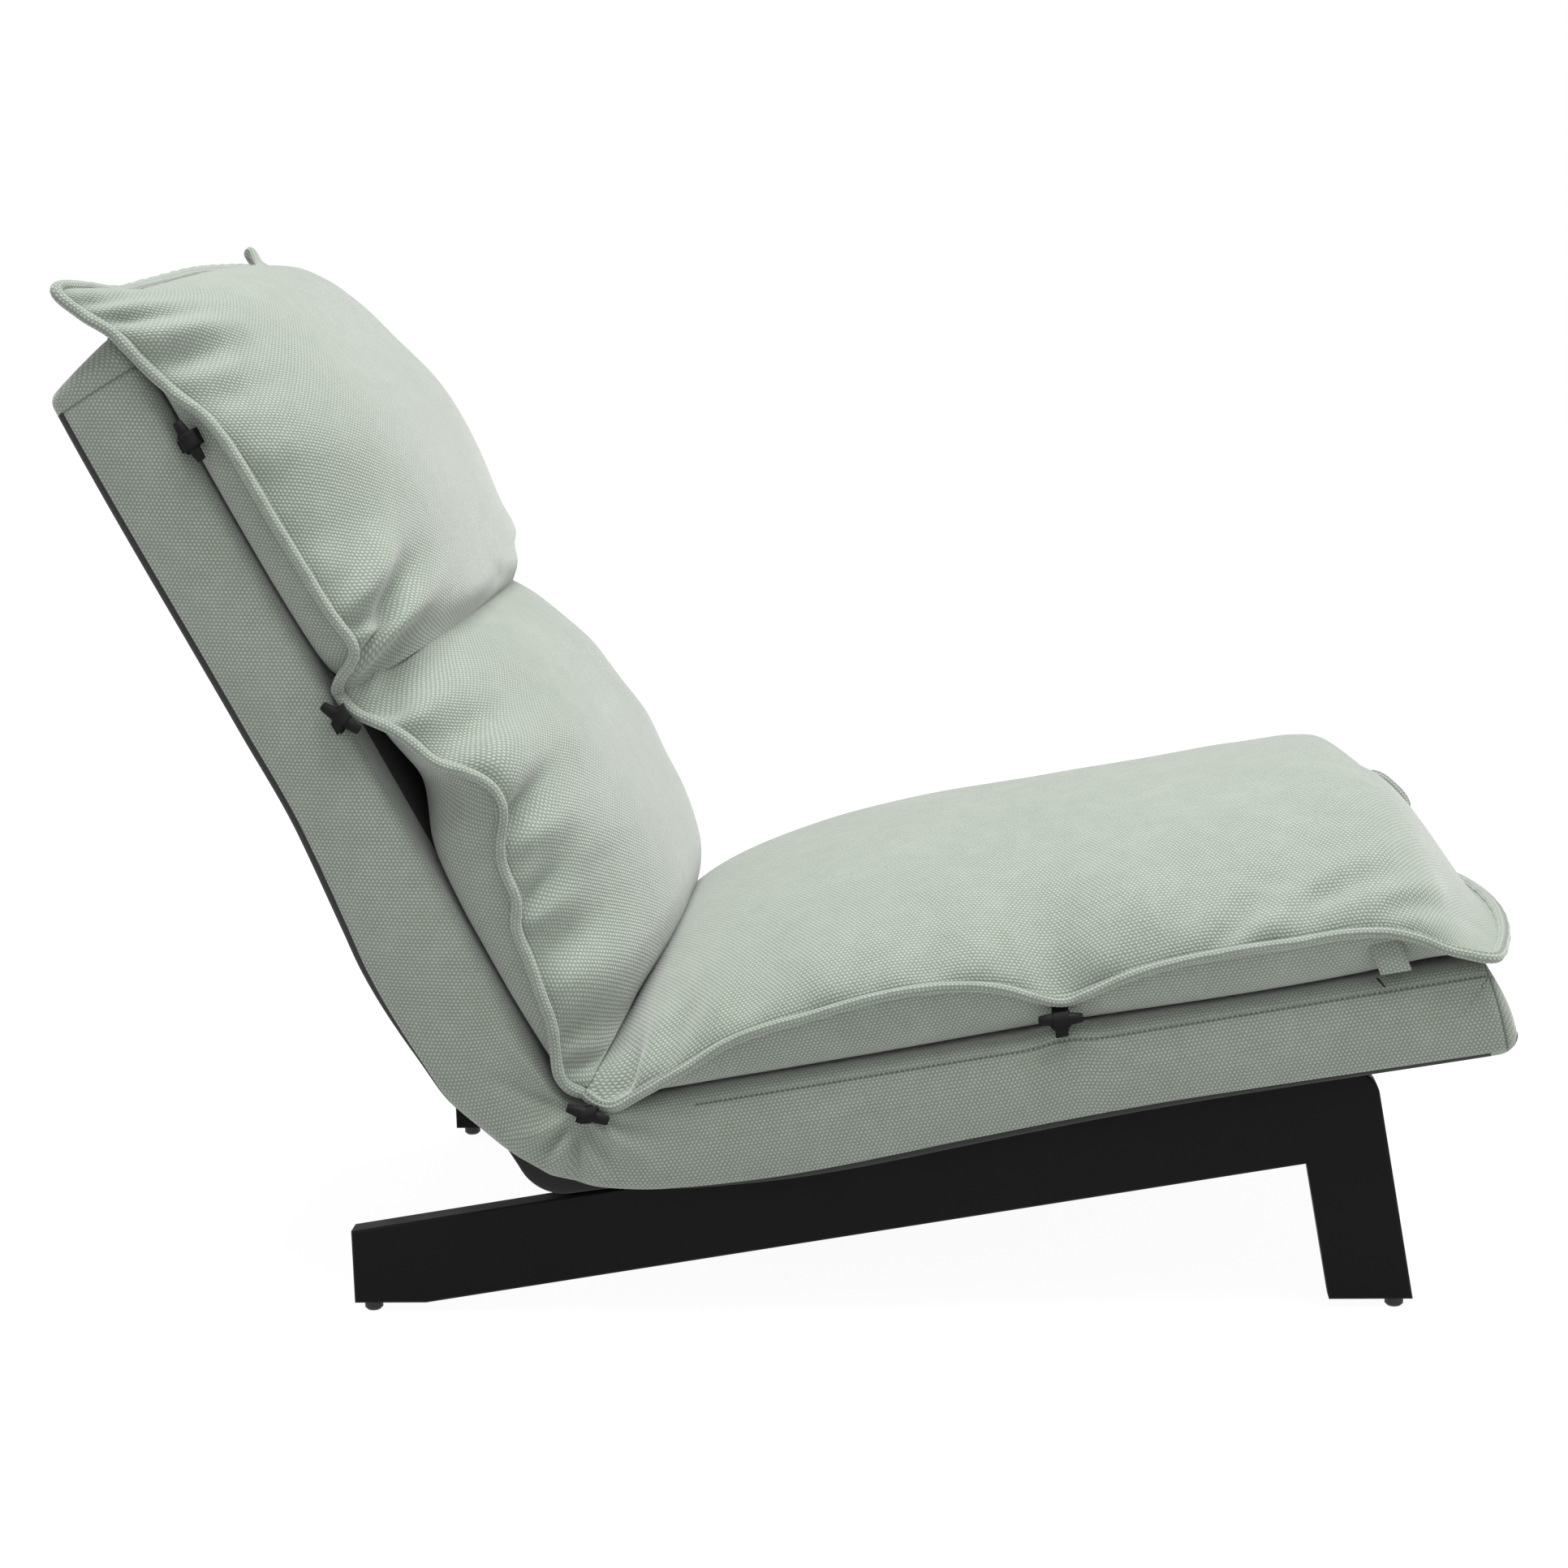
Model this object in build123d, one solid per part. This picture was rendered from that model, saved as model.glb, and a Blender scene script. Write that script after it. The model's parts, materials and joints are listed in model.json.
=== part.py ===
from build123d import *
import math
import os

# A low lounge chair: a padded folding shell on a black wooden base, with a three-part topper tied on.
# +X is the sitter's front, +Y the sitter's left, +Z up. Lengths in millimetres, angles in degrees.

# Posture of the shell: the hinge axis is where the middle planes of seat and back meet
seat_slope = 9.0
back_lean = 27.3
hinge_height = 136.4

# Padded shell
shell_thickness = 78.0
shell_half_width = 295.0
seat_length = 771.0
back_length = 724.0
shell_edge_radius = 14.0
cloth = 2.0
cover_margin = 45.0
cover_hem = 14.0
bend_reach = 46.0
crease_gap = 0.5
bend_clearance = 0.6

# Clearances
fit = 0.3
glue_fit = 0.1
turning_fit = 0.2

# Base of board
rail_depth = 70.0
rail_thickness = 22.0
rail_inset = 35.0
rail_gap = 1.0
rail_foot_length = 59.2
leg_width = 66.0
leg_front = 666.0
leg_corner_radius = 22.0
board_edge = 1.6
glide_height = 8.0
glide_radius = 7.5
glide_edge = 2.0
glide_pin_width = 3.0
glide_pin_length = 14.0
rear_glide_inset = 14.0
front_glide_inset = 14.0

# Stretchers, bolts and biscuits
stretcher_depth = 50.0
stretcher_thickness = 22.0
front_stretcher_at = 560.0
rear_stretcher_at = 150.0
tenon_length = 12.0
tenon_depth = 36.0
tenon_thickness = 12.0
bolt_spread = 140.0
bolt_radius = 4.0
bolt_reach = 24.0
bolt_head_radius = 8.5
bolt_head_height = 7.0
biscuit_thickness = 4.0
biscuit_width = 56.0
biscuit_depth = 24.0

# Steel frames and webbing
tube_radius = 11.0
tube_wall = 1.5
cross_bar_width = 19.0
tube_start = 60.0
tube_corner = 60.0
frame_end_gap = 50.0
back_cross_bar_at = 130.0
boss_width = 16.0
web_thickness = 1.8
web_width = 50.0
web_count = 4
web_first = 110.0

# Ratchet hinges
cheek_radius = 27.0
cheek_height = 58.0
cheek_reach = 48.0
cheek_thickness = 4.0
tongue_thickness = 8.0
tongue_gap = 0.4
tongue_width = 18.0
pivot_radius = 5.0
pivot_stand = 2.0
plug_length = 40.0
tooth_tip = 23.0
tooth_root = 20.0
tooth_step = 11.5
tooth_open = 9.0
tooth_count = 7
pawl_pin_u = 24.0
pawl_pin_w = 22.0
pawl_pin_radius = 3.0
pawl_eye_radius = 5.6
pawl_gap = 0.6
pawl_nose_width = 6.4
pawl_lift = 10.0
spring_thickness = 0.8
spring_width = 6.0
hinge_pocket_half = 17.0

# Toggles, straps, loops and tabs
toggle_length = 34.0
toggle_radius = 4.8
toggle_end_radius = 3.4
toggle_sides = 12
strap_thickness = 1.4
strap_width = 13.0
strap_tuck = 30.0
loop_thickness = 1.4
loop_width = 4.0
loop_offset = 10.0
loop_drop = 16.0
seat_toggle_height = 12.0
crease_toggle_height = 1.0
back_toggle_height = 3.0
head_toggle_height = 4.0
seat_toggle_at = 0.5565 * seat_length
crease_toggle_at = 0.0856 * seat_length
back_toggle_at = 0.5304 * back_length
head_toggle_at = 0.8702 * back_length
tab_at = 0.8898 * seat_length
tab_width = 20.0
tab_drop = 12.0
tab_rise = 24.0

# Topper: for each cushion, stations of place as a share of the shell's length, inset of the seam
# from the shell's side, seam height and crown height above the shell, and how far the underside drops there
seat_cushion_stations = [
    (0.031, 23.0, 18.0, 60.0, 0.0),
    (0.130, 10.0, 16.0, 92.0, 0.0),
    (0.300, 4.0, 47.0, 124.0, 0.0),
    (0.558, 8.0, 28.0, 134.0, 0.0),
    (0.760, 3.0, 42.0, 133.0, 0.0),
    (0.880, 2.0, 38.0, 127.0, 0.0),
    (0.950, 2.0, 20.0, 86.0, 0.0),
    (0.992, 4.0, 7.0, 26.0, 0.0),
]
lumbar_cushion_stations = [
    (0.033, 21.0, 16.0, 64.0, 0.0),
    (0.130, 9.0, 28.0, 110.0, 0.0),
    (0.276, 4.0, 50.0, 137.0, 0.0),
    (0.400, 2.0, 62.0, 136.0, 0.0),
    (0.504, 8.0, 34.0, 119.0, 0.0),
    (0.5658, 19.0, 13.0, 94.0, 0.0),
]
head_cushion_stations = [
    (0.5669, 19.0, 13.0, 94.0, 0.0),
    (0.628, 6.0, 34.0, 113.0, 0.0),
    (0.774, 4.0, 34.0, 128.0, 0.0),
    (0.898, 4.0, 22.0, 114.0, 0.0),
    (1.015, 2.0, 8.0, 77.0, 3.0),
    (1.061, 1.0, 8.0, 57.0, 13.0),
    (1.086, 4.0, 9.0, 35.0, 24.0),
]
base_inset = 36.0
shoulder_share = 0.66
shoulder_rise = 0.80
lower_bulge = 6.0
upper_bulge = 14.0

# Sizes that follow from those above
half_shell = shell_thickness / 2
rail_outer_y = shell_half_width - rail_inset
frame_y = rail_outer_y - rail_thickness / 2
rail_top_w = -(half_shell + rail_gap)
rail_bottom_w = rail_top_w - rail_depth
rail_inner_y = rail_outer_y - rail_thickness
tube_bore = tube_radius - tube_wall
half_fold = (90 + back_lean - seat_slope) / 2
far = 4 * (seat_length + back_length)
cheek_inner = tongue_thickness / 2 + tongue_gap
cheek_outer = cheek_inner + cheek_thickness
pivot_half = cheek_outer + pivot_stand

# Frames of the two halves of the shell: local x runs from the hinge along the half, local z to the sitter
seat_plane = Plane(
    origin=(0, 0, hinge_height),
    x_dir=(math.cos(math.radians(seat_slope)), 0, math.sin(math.radians(seat_slope))),
    z_dir=(-math.sin(math.radians(seat_slope)), 0, math.cos(math.radians(seat_slope))),
)
back_plane = Plane(
    origin=(0, 0, hinge_height),
    x_dir=(-math.sin(math.radians(back_lean)), 0, math.cos(math.radians(back_lean))),
    z_dir=(math.cos(math.radians(back_lean)), 0, math.sin(math.radians(back_lean))),
)


def block(u0, u1, y0, y1, w0, w1):
    """A box between two corners."""
    return Pos((u0 + u1) / 2, (y0 + y1) / 2, (w0 + w1) / 2) * Box(u1 - u0, y1 - y0, w1 - w0)


def plate(face, y0, y1):
    """A flat face drawn in the side view, made solid from y0 to y1."""
    return Pos(0, (y0 + y1) / 2, 0) * extrude(Plane.XZ * face, (y1 - y0) / 2, both=True)


def cross_rod(radius, u, w, y0, y1):
    """A rod across the chair."""
    return plate(Pos(u, w) * Circle(radius), y0, y1)


def upright_rod(radius, u, y, w0, w1):
    """A rod square to the shell."""
    return Pos(u, y, (w0 + w1) / 2) * Cylinder(radius, w1 - w0)


def upright_bar(width, u, y, w0, w1):
    """A square bar square to the shell."""
    half = width / 2
    return block(u - half, u + half, y - half, y + half, w0, w1)


def polygon(points):
    """A flat face with straight sides."""
    return make_face(Polyline(points, close=True))


def pair(solid):
    """A solid and its mirror image on the other side of the chair."""
    return [solid, mirror(solid, about=Plane.XZ)]


def across_fold(gap):
    """The other half's side of the fold line, as a flat face."""
    along = Vector(math.cos(math.radians(half_fold)), math.sin(math.radians(half_fold)))
    aside = Vector(-along.Y, along.X)
    start = aside * -gap
    low = start - along * far
    high = start + along * far
    corners = [low, high, high + aside * far, low + aside * far]
    return polygon([(point.X, point.Y) for point in corners])


def padded_block(u0, u1, inset):
    """The shell's outline from u0 to u1, drawn in by an inset, with its soft edges."""
    y = shell_half_width - inset
    w = half_shell - inset
    solid = block(u0, u1 - inset, -y, y, -w, w)
    long_edges = solid.edges().filter_by(Axis.X)
    end_edges = solid.faces().sort_by(Axis.X)[-1].edges()
    if inset:
        return chamfer(long_edges + end_edges, shell_edge_radius - inset)
    return fillet(long_edges + end_edges, shell_edge_radius)


# Padded halves

pad_inset = cloth + fit
web_top = tube_radius + glue_fit + web_thickness
split_w = -(web_top + fit)
cavity_y = frame_y + web_top + fit


def pads_and_cover(u0, length):
    """The two foam pads, the green cover and the two black cloths of one half of the shell."""
    filling = padded_block(u0, length, pad_inset)
    low = filling & block(u0 - 1, length, -far, far, -far, split_w - glue_fit)
    high = filling & block(u0 - 1, length, -far, far, split_w, far)
    frame_end = length - frame_end_gap + tube_radius + fit
    high -= block(u0 - 1, frame_end, -cavity_y, cavity_y, split_w - 1, web_top + fit)
    cover = padded_block(u0, length, 0)
    cover -= padded_block(u0 - 1, length, cloth)
    opening = shell_half_width - cover_margin
    cover -= block(u0 - 1, length - cover_margin, -opening, opening, 0, far)
    hem = shell_half_width - cover_hem
    cover -= block(u0 - 1, length - cover_hem, -hem, hem, -far, 0)
    front_cloth = block(
        u0, length - cover_margin - fit, fit - opening, opening - fit, half_shell - cloth, half_shell
    )
    rear_cloth = block(
        u0, length - cover_hem - fit, fit - hem, hem - fit, -half_shell, cloth - half_shell
    )
    return high, low, cover, front_cloth, rear_cloth


# Seat half: pads, cover and cloths start where the bend ends
seat_pad_top, seat_pad_bottom, seat_cover, seat_top_cloth, seat_underside_cloth = pads_and_cover(
    bend_reach, seat_length
)
boss_places = []
for boss_u in (front_stretcher_at, rear_stretcher_at):
    for boss_y in (-bolt_spread, bolt_spread):
        boss_places.append((boss_u, boss_y))
for boss_u, boss_y in boss_places:
    boss_hole = upright_bar(boss_width + 2 * fit, boss_u, boss_y, -2 * half_shell, 0)
    seat_pad_bottom -= boss_hole
    seat_underside_cloth -= boss_hole
hinge_pocket = block(
    0,
    tube_start + fit,
    frame_y - hinge_pocket_half,
    frame_y + hinge_pocket_half,
    -cheek_height / 2 - fit,
    cheek_height / 2 + fit,
)
for pocket in pair(hinge_pocket):
    seat_pad_top -= pocket
    seat_pad_bottom -= pocket

# Back half: everything is hollowed round the bend and cut on the fold line
back_pad_front, back_pad_rear, back_cover, back_front_cloth, back_rear_cloth = pads_and_cover(
    0, back_length
)
bend_round = plate(Circle(half_shell + bend_clearance), -far, far)
fold_cut = plate(across_fold(crease_gap), -far, far)
back_pad_front -= bend_round
back_pad_front -= fold_cut
back_pad_rear -= bend_round
back_cover -= bend_round
back_cover -= fold_cut
back_front_cloth -= bend_round
back_front_cloth -= fold_cut
back_rear_cloth -= bend_round


def bend_outline(inset, rise):
    """The bend from the side: a roll about the hinge and the stub that meets the seat."""
    w = half_shell - inset
    stub = Pos(bend_reach / 2, (rise - w) / 2) * Rectangle(bend_reach, rise + w)
    return Circle(w) + (stub - across_fold(crease_gap))


# The foam of the bend leaves a pocket for each hinge
foam_outline = bend_outline(pad_inset, half_shell - pad_inset)
pocket_inner = frame_y - hinge_pocket_half
pocket_outer = frame_y + hinge_pocket_half
bend_foam = [
    plate(foam_outline, -pocket_inner, pocket_inner),
    plate(foam_outline, pocket_outer, shell_half_width - pad_inset),
    plate(foam_outline, pad_inset - shell_half_width, -pocket_outer),
]
bend_side = plate(bend_outline(0, half_shell), shell_half_width - cloth, shell_half_width)
bend_cloth_half = shell_half_width - cloth - fit
bend_cloth = plate(bend_outline(0, half_shell), -bend_cloth_half, bend_cloth_half)
bend_cloth -= plate(bend_outline(cloth, 2 * half_shell), -far, far)

# Steel frames


def cross_bar(at, half):
    """The outside or the inside of a square tube across a frame."""
    return block(at - half, at + half, -frame_y, frame_y, -half, half)


def bent_frame(length, cross_bars):
    """Tube runs welded to a U, with square tubes across it; returns the outside and the bore."""
    end = length - frame_end_gap
    path = Polyline(
        (tube_start, -frame_y),
        (end - tube_corner, -frame_y),
        (end, tube_corner - frame_y),
        (end, frame_y - tube_corner),
        (end - tube_corner, frame_y),
        (tube_start, frame_y),
    )
    mouth = Plane(origin=(tube_start, -frame_y, 0), z_dir=(1, 0, 0))
    outside = sweep(mouth * Circle(tube_radius), path, transition=Transition.RIGHT)
    bore = sweep(mouth * Circle(tube_bore), path, transition=Transition.RIGHT)
    for at in cross_bars:
        outside += cross_bar(at, cross_bar_width / 2)
        bore += cross_bar(at, cross_bar_width / 2 - tube_wall)
    return outside, bore


seat_frame, seat_bore = bent_frame(seat_length, [rear_stretcher_at, front_stretcher_at])
boss_foot = rail_top_w + fit
for boss_u, boss_y in boss_places:
    seat_frame += upright_bar(boss_width, boss_u, boss_y, boss_foot, tube_wall - cross_bar_width / 2)
    seat_frame -= upright_rod(
        bolt_radius + turning_fit, boss_u, boss_y, boss_foot - 1, boss_foot + bolt_reach + fit
    )
seat_frame -= seat_bore
back_frame, back_bore = bent_frame(back_length, [back_cross_bar_at])
back_frame -= back_bore


def folded(reach):
    """An eight-sided outline whose flats lie at a given reach, for a band folded round a rod."""
    return Rot(0, 0, 22.5) * RegularPolygon(reach, 8, major_radius=False)


def webbing(length, taken):
    """Elastic straps across a frame, each sewn round both side tubes, clear of the bars across."""
    run = Pos(0, web_top - web_thickness / 2) * Rectangle(2 * frame_y, web_thickness)
    outline = run + Pos(frame_y, 0) * folded(web_top) + Pos(-frame_y, 0) * folded(web_top)
    outline -= Pos(frame_y, 0) * folded(tube_radius + glue_fit)
    outline -= Pos(-frame_y, 0) * folded(tube_radius + glue_fit)
    first = tube_start + web_first
    last = length - frame_end_gap - tube_corner - web_width
    straps = []
    for number in range(web_count):
        at = first + (last - first) * number / (web_count - 1)
        for bar in taken:
            if abs(at - bar) < web_width / 2 + tube_radius + fit:
                at = bar + web_width / 2 + tube_radius + 2 * fit
        end = Plane(origin=(at - web_width / 2, 0, 0), x_dir=(0, 1, 0), z_dir=(1, 0, 0))
        straps.append(extrude(end * outline, web_width))
    return straps


seat_webbing = webbing(seat_length, [rear_stretcher_at, front_stretcher_at])
back_webbing = webbing(back_length, [back_cross_bar_at])

# Ratchet hinges, drawn for the left side with the hinge axis at the origin

cheek = Circle(cheek_radius) + Pos(cheek_reach / 2, 0) * Rectangle(cheek_reach, cheek_height)
cheek -= Circle(pivot_radius + turning_fit)
cheek -= Pos(pawl_pin_u, pawl_pin_w) * Circle(pawl_pin_radius + turning_fit)
bridge_start = cheek_reach - 3.0
bridge = plate(
    polygon([
        (bridge_start, -cheek_height / 2),
        (cheek_reach, -cheek_height / 2),
        (tube_start, -tube_radius),
        (tube_start, tube_radius),
        (cheek_reach, cheek_height / 2),
        (bridge_start, cheek_height / 2),
    ]),
    frame_y - cheek_outer,
    frame_y + cheek_outer,
)
plug_radius = tube_bore - fit


def plug(start):
    """The round end of a hinge arm that goes into a tube."""
    end = tube_start + plug_length
    return Pos((start + end) / 2, frame_y, 0) * Rot(0, 90, 0) * Cylinder(plug_radius, end - start)


hinge_fork = plate(cheek, frame_y - cheek_outer, frame_y - cheek_inner)
hinge_fork += plate(cheek, frame_y + cheek_inner, frame_y + cheek_outer)
hinge_fork += bridge
hinge_fork += plug(bridge_start)


def notch(number):
    """One gap between ratchet teeth: a steep side that takes the load and a sloping side."""
    low = math.radians(-number * tooth_step)
    high = low + math.radians(tooth_open)
    root = (tooth_root * math.cos(low), tooth_root * math.sin(low))
    steep = (2 * tooth_tip * math.cos(low), 2 * tooth_tip * math.sin(low))
    tip = Vector(tooth_tip * math.cos(high), tooth_tip * math.sin(high))
    sloping = tip * 2 - Vector(root[0], root[1])
    return polygon([root, steep, (sloping.X, sloping.Y)])


# The teeth are cut in the seat's frame at rest and carried over to the back's frame
fold = 2 * half_fold
toothed = Circle(tooth_tip)
for number in range(tooth_count):
    toothed -= notch(number)
tongue_arm = Rot(0, 0, fold) * Pos(tube_start / 2, 0) * Rectangle(tube_start, tongue_width)
tongue_outline = toothed + tongue_arm - Circle(pivot_radius + turning_fit)
hinge_tongue_at_seat = plate(
    tongue_outline, frame_y - tongue_thickness / 2, frame_y + tongue_thickness / 2
)
tongue_plug = mirror(plug(tube_start - 6.0), about=Plane.XZ)
tongue_slot = plate(
    Rot(0, 0, fold) * Pos(tube_start / 2, 0) * Rectangle(tube_start, tongue_width + 2 * fit),
    frame_y - tongue_thickness / 2 - fit,
    frame_y + tongue_thickness / 2 + fit,
)
for slot in pair(tongue_slot):
    bend_cloth -= slot

# The pawl is drawn in its notch, then lifted clear of the teeth about its pin
pawl_nose = tooth_root + pawl_gap
pawl_outline = polygon([
    (pawl_nose, pawl_gap),
    (pawl_nose + pawl_nose_width, pawl_gap),
    (pawl_pin_u + 4.5, pawl_pin_w - 7.0),
    (pawl_pin_u + 4.5, pawl_pin_w),
    (pawl_pin_u - 5.0, pawl_pin_w),
    (pawl_nose + 4.0, pawl_gap + 4.0),
])
pawl_outline += Pos(pawl_pin_u, pawl_pin_w) * Circle(pawl_eye_radius)
pawl_outline -= Pos(pawl_pin_u, pawl_pin_w) * Circle(pawl_pin_radius + turning_fit)
lifted = Pos(pawl_pin_u, pawl_pin_w) * Rot(0, 0, pawl_lift) * Pos(-pawl_pin_u, -pawl_pin_w)
pawl = plate(
    lifted * pawl_outline,
    frame_y - tongue_thickness / 2,
    frame_y + tongue_thickness / 2,
)


hinge_pivot = cross_rod(pivot_radius, 0, 0, frame_y - pivot_half, frame_y + pivot_half)
pawl_pin = cross_rod(
    pawl_pin_radius, pawl_pin_u, pawl_pin_w, frame_y - cheek_outer, frame_y + cheek_outer
)

# A leaf spring stands on the bridge and leans on the lifted pawl's back
turn = math.radians(pawl_lift)


def lifted_point(u, w):
    """Where a point of the pawl lies when the pawl is lifted."""
    du = u - pawl_pin_u
    dw = w - pawl_pin_w
    return Vector(
        pawl_pin_u + du * math.cos(turn) - dw * math.sin(turn),
        pawl_pin_w + du * math.sin(turn) + dw * math.cos(turn),
    )


back_low = lifted_point(pawl_nose + pawl_nose_width, pawl_gap)
back_high = lifted_point(pawl_pin_u + 4.5, pawl_pin_w - 7.0)
rise_along = (back_high - back_low).normalized()
outward = Vector(rise_along.Y, -rise_along.X)
spring_top = back_low + (back_high - back_low) * 0.7 + outward * fit
spring_knee = back_low + (back_high - back_low) * 0.2 + outward * (2.0 + fit)
spring_foot = Vector(bridge_start - fit, -cheek_height / 2 + 6.0)
spring_outline = polygon([
    (spring_top.X, spring_top.Y),
    (spring_knee.X, spring_knee.Y),
    (spring_foot.X, spring_foot.Y - spring_thickness),
    (spring_foot.X, spring_foot.Y + spring_thickness),
    (spring_knee.X + spring_thickness, spring_knee.Y),
    (spring_top.X + spring_thickness, spring_top.Y),
])
pawl_spring = plate(spring_outline, frame_y - spring_width / 2, frame_y + spring_width / 2)

# Wooden base

slope = math.radians(seat_slope)


def seat_point(u, w):
    """A point of the seat's side view in the chair's side view."""
    return Vector(
        u * math.cos(slope) - w * math.sin(slope),
        hinge_height + u * math.sin(slope) + w * math.cos(slope),
    )


def at_height(start, along, height):
    """The point of a line at a given height."""
    return start + along * ((height - start.Y) / along.Y)


along_seat = Vector(math.cos(slope), math.sin(slope))
down_leg = Vector(math.sin(slope), -math.cos(slope))
outer_corner = seat_point(leg_front, rail_top_w)
inner_corner = seat_point(leg_front - leg_width, rail_bottom_w)
leg_toe = at_height(outer_corner, down_leg, glide_height)
leg_heel = at_height(inner_corner, down_leg, glide_height)
rail_foot = at_height(inner_corner, along_seat, glide_height)
rear_x = rail_foot.X - rail_foot_length
rear_top = outer_corner - along_seat * ((outer_corner.X - rear_x) / along_seat.X)
side_outline = polygon([
    (rear_x, glide_height),
    (rail_foot.X, rail_foot.Y),
    (inner_corner.X, inner_corner.Y),
    (leg_heel.X, leg_heel.Y),
    (leg_toe.X, leg_toe.Y),
    (outer_corner.X, outer_corner.Y),
    (rear_top.X, rear_top.Y),
])
corner = side_outline.vertices().sort_by_distance((outer_corner.X, outer_corner.Y, 0))[0]
side_outline = fillet(corner, leg_corner_radius)

# The mitre runs from the inner to the outer corner, and what lies ahead of it is leg
mitre_along = (outer_corner - inner_corner).normalized()
mitre_aside = Vector(mitre_along.Y, -mitre_along.X)
mitre_start = inner_corner - mitre_along * far
mitre_end = inner_corner + mitre_along * far
mitre_corners = [
    mitre_start,
    mitre_start + mitre_aside * far,
    mitre_end + mitre_aside * far,
    mitre_end,
]
leg_side = polygon([(point.X, point.Y) for point in mitre_corners])


def board(outline):
    """A board cut to an outline, its edges eased except where it meets the other board."""
    solid = plate(outline, rail_inner_y, rail_outer_y)
    eased = []
    for edge in solid.faces().filter_by(Axis.Y).edges():
        middle = edge @ 0.5
        aside = (middle.X - inner_corner.X) * mitre_aside.X + (middle.Z - inner_corner.Y) * mitre_aside.Y
        if abs(aside) > glue_fit:
            eased.append(edge)
    return chamfer(eased, board_edge)


front_leg = board(side_outline & leg_side)
side_rail = board(side_outline - leg_side)

# A flat biscuit across each mitre
mitre_middle = (outer_corner + inner_corner) * 0.5
mitre_angle = math.degrees(math.atan2(mitre_aside.Y, mitre_aside.X))
biscuit_place = Pos(mitre_middle.X, frame_y, mitre_middle.Y) * Rot(0, -mitre_angle, 0)
biscuit = biscuit_place * Box(biscuit_depth, biscuit_thickness, biscuit_width)
biscuit_slot = biscuit_place * Box(
    biscuit_depth + 2 * glue_fit, biscuit_thickness + 2 * glue_fit, biscuit_width + 2 * glue_fit
)
side_rail -= biscuit_slot
front_leg -= biscuit_slot

# Glides under the rear end of the rail and under the leg
front_glide_x = leg_toe.X - front_glide_inset
rear_glide_x = rear_x + rear_glide_inset


def glide(x):
    """A foot glide with a pin driven into the board, standing on the floor."""
    foot = Pos(x, frame_y, glide_height / 2) * Cylinder(glide_radius, glide_height)
    foot = chamfer(foot.edges().sort_by(Axis.Z)[0], glide_edge)
    half = glide_pin_width / 2
    foot += block(
        x - half, x + half, frame_y - half, frame_y + half, glide_height, glide_height + glide_pin_length
    )
    return foot


def glide_hole(x):
    """The hole for a glide's pin."""
    half = glide_pin_width / 2 + glue_fit
    top = glide_height + glide_pin_length + glue_fit
    return block(x - half, x + half, frame_y - half, frame_y + half, glide_height - 1, top)


rear_glide = glide(rear_glide_x)
front_glide = glide(front_glide_x)
side_rail -= glide_hole(rear_glide_x)
front_leg -= glide_hole(front_glide_x)


def stretcher(u):
    """A board across the base with a tenon at each end and two bolt holes."""
    top = rail_top_w
    bottom = rail_top_w - stretcher_depth
    middle = (top + bottom) / 2
    half = stretcher_thickness / 2
    solid = block(u - half, u + half, -rail_inner_y, rail_inner_y, bottom, top)
    reach = rail_inner_y + tenon_length
    solid += block(
        u - tenon_thickness / 2,
        u + tenon_thickness / 2,
        -reach,
        reach,
        middle - tenon_depth / 2,
        middle + tenon_depth / 2,
    )
    for y in (-bolt_spread, bolt_spread):
        solid -= upright_rod(bolt_radius + turning_fit, u, y, bottom - 1, top + 1)
    return solid


def mortise(u):
    """The hole in a rail for a stretcher's tenon."""
    middle = rail_top_w - stretcher_depth / 2
    reach = rail_inner_y + tenon_length + glue_fit
    return block(
        u - tenon_thickness / 2 - glue_fit,
        u + tenon_thickness / 2 + glue_fit,
        -reach,
        reach,
        middle - tenon_depth / 2 - glue_fit,
        middle + tenon_depth / 2 + glue_fit,
    )


front_stretcher = seat_plane.location * stretcher(front_stretcher_at)
rear_stretcher = seat_plane.location * stretcher(rear_stretcher_at)
side_rail -= seat_plane.location * mortise(front_stretcher_at)
side_rail -= seat_plane.location * mortise(rear_stretcher_at)

frame_bolts = []
stretcher_foot = rail_top_w - stretcher_depth
for boss_u, boss_y in boss_places:
    bolt = upright_rod(bolt_radius, boss_u, boss_y, stretcher_foot - 1, boss_foot + bolt_reach)
    head = Pos(boss_u, boss_y, stretcher_foot) * RegularPolygon(bolt_head_radius, 6)
    bolt += extrude(head, -bolt_head_height)
    frame_bolts.append(bolt)

# Toggles tied along both edges of the shell, drawn for the side at negative y

toggle_y = -(shell_half_width + loop_thickness + fit + toggle_radius + fit)
strap_ring = toggle_radius + fit
loop_ring = toggle_radius + fit


def end_view(u):
    """The plane that looks along the shell's edge at u, with y to the right and w up."""
    return Plane(origin=(u, 0, 0), x_dir=(0, 1, 0), z_dir=(1, 0, 0))


def toggle(u, height):
    """A turned toggle, thickest in the middle, lying at a height above the shell's top."""
    half = toggle_length / 2
    sections = []
    for along, radius in ((-half, toggle_end_radius), (0, toggle_radius), (half, toggle_end_radius)):
        sections.append(end_view(along) * RegularPolygon(radius, toggle_sides))
    return Pos(u, toggle_y, half_shell + height) * loft(sections, ruled=True)


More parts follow.
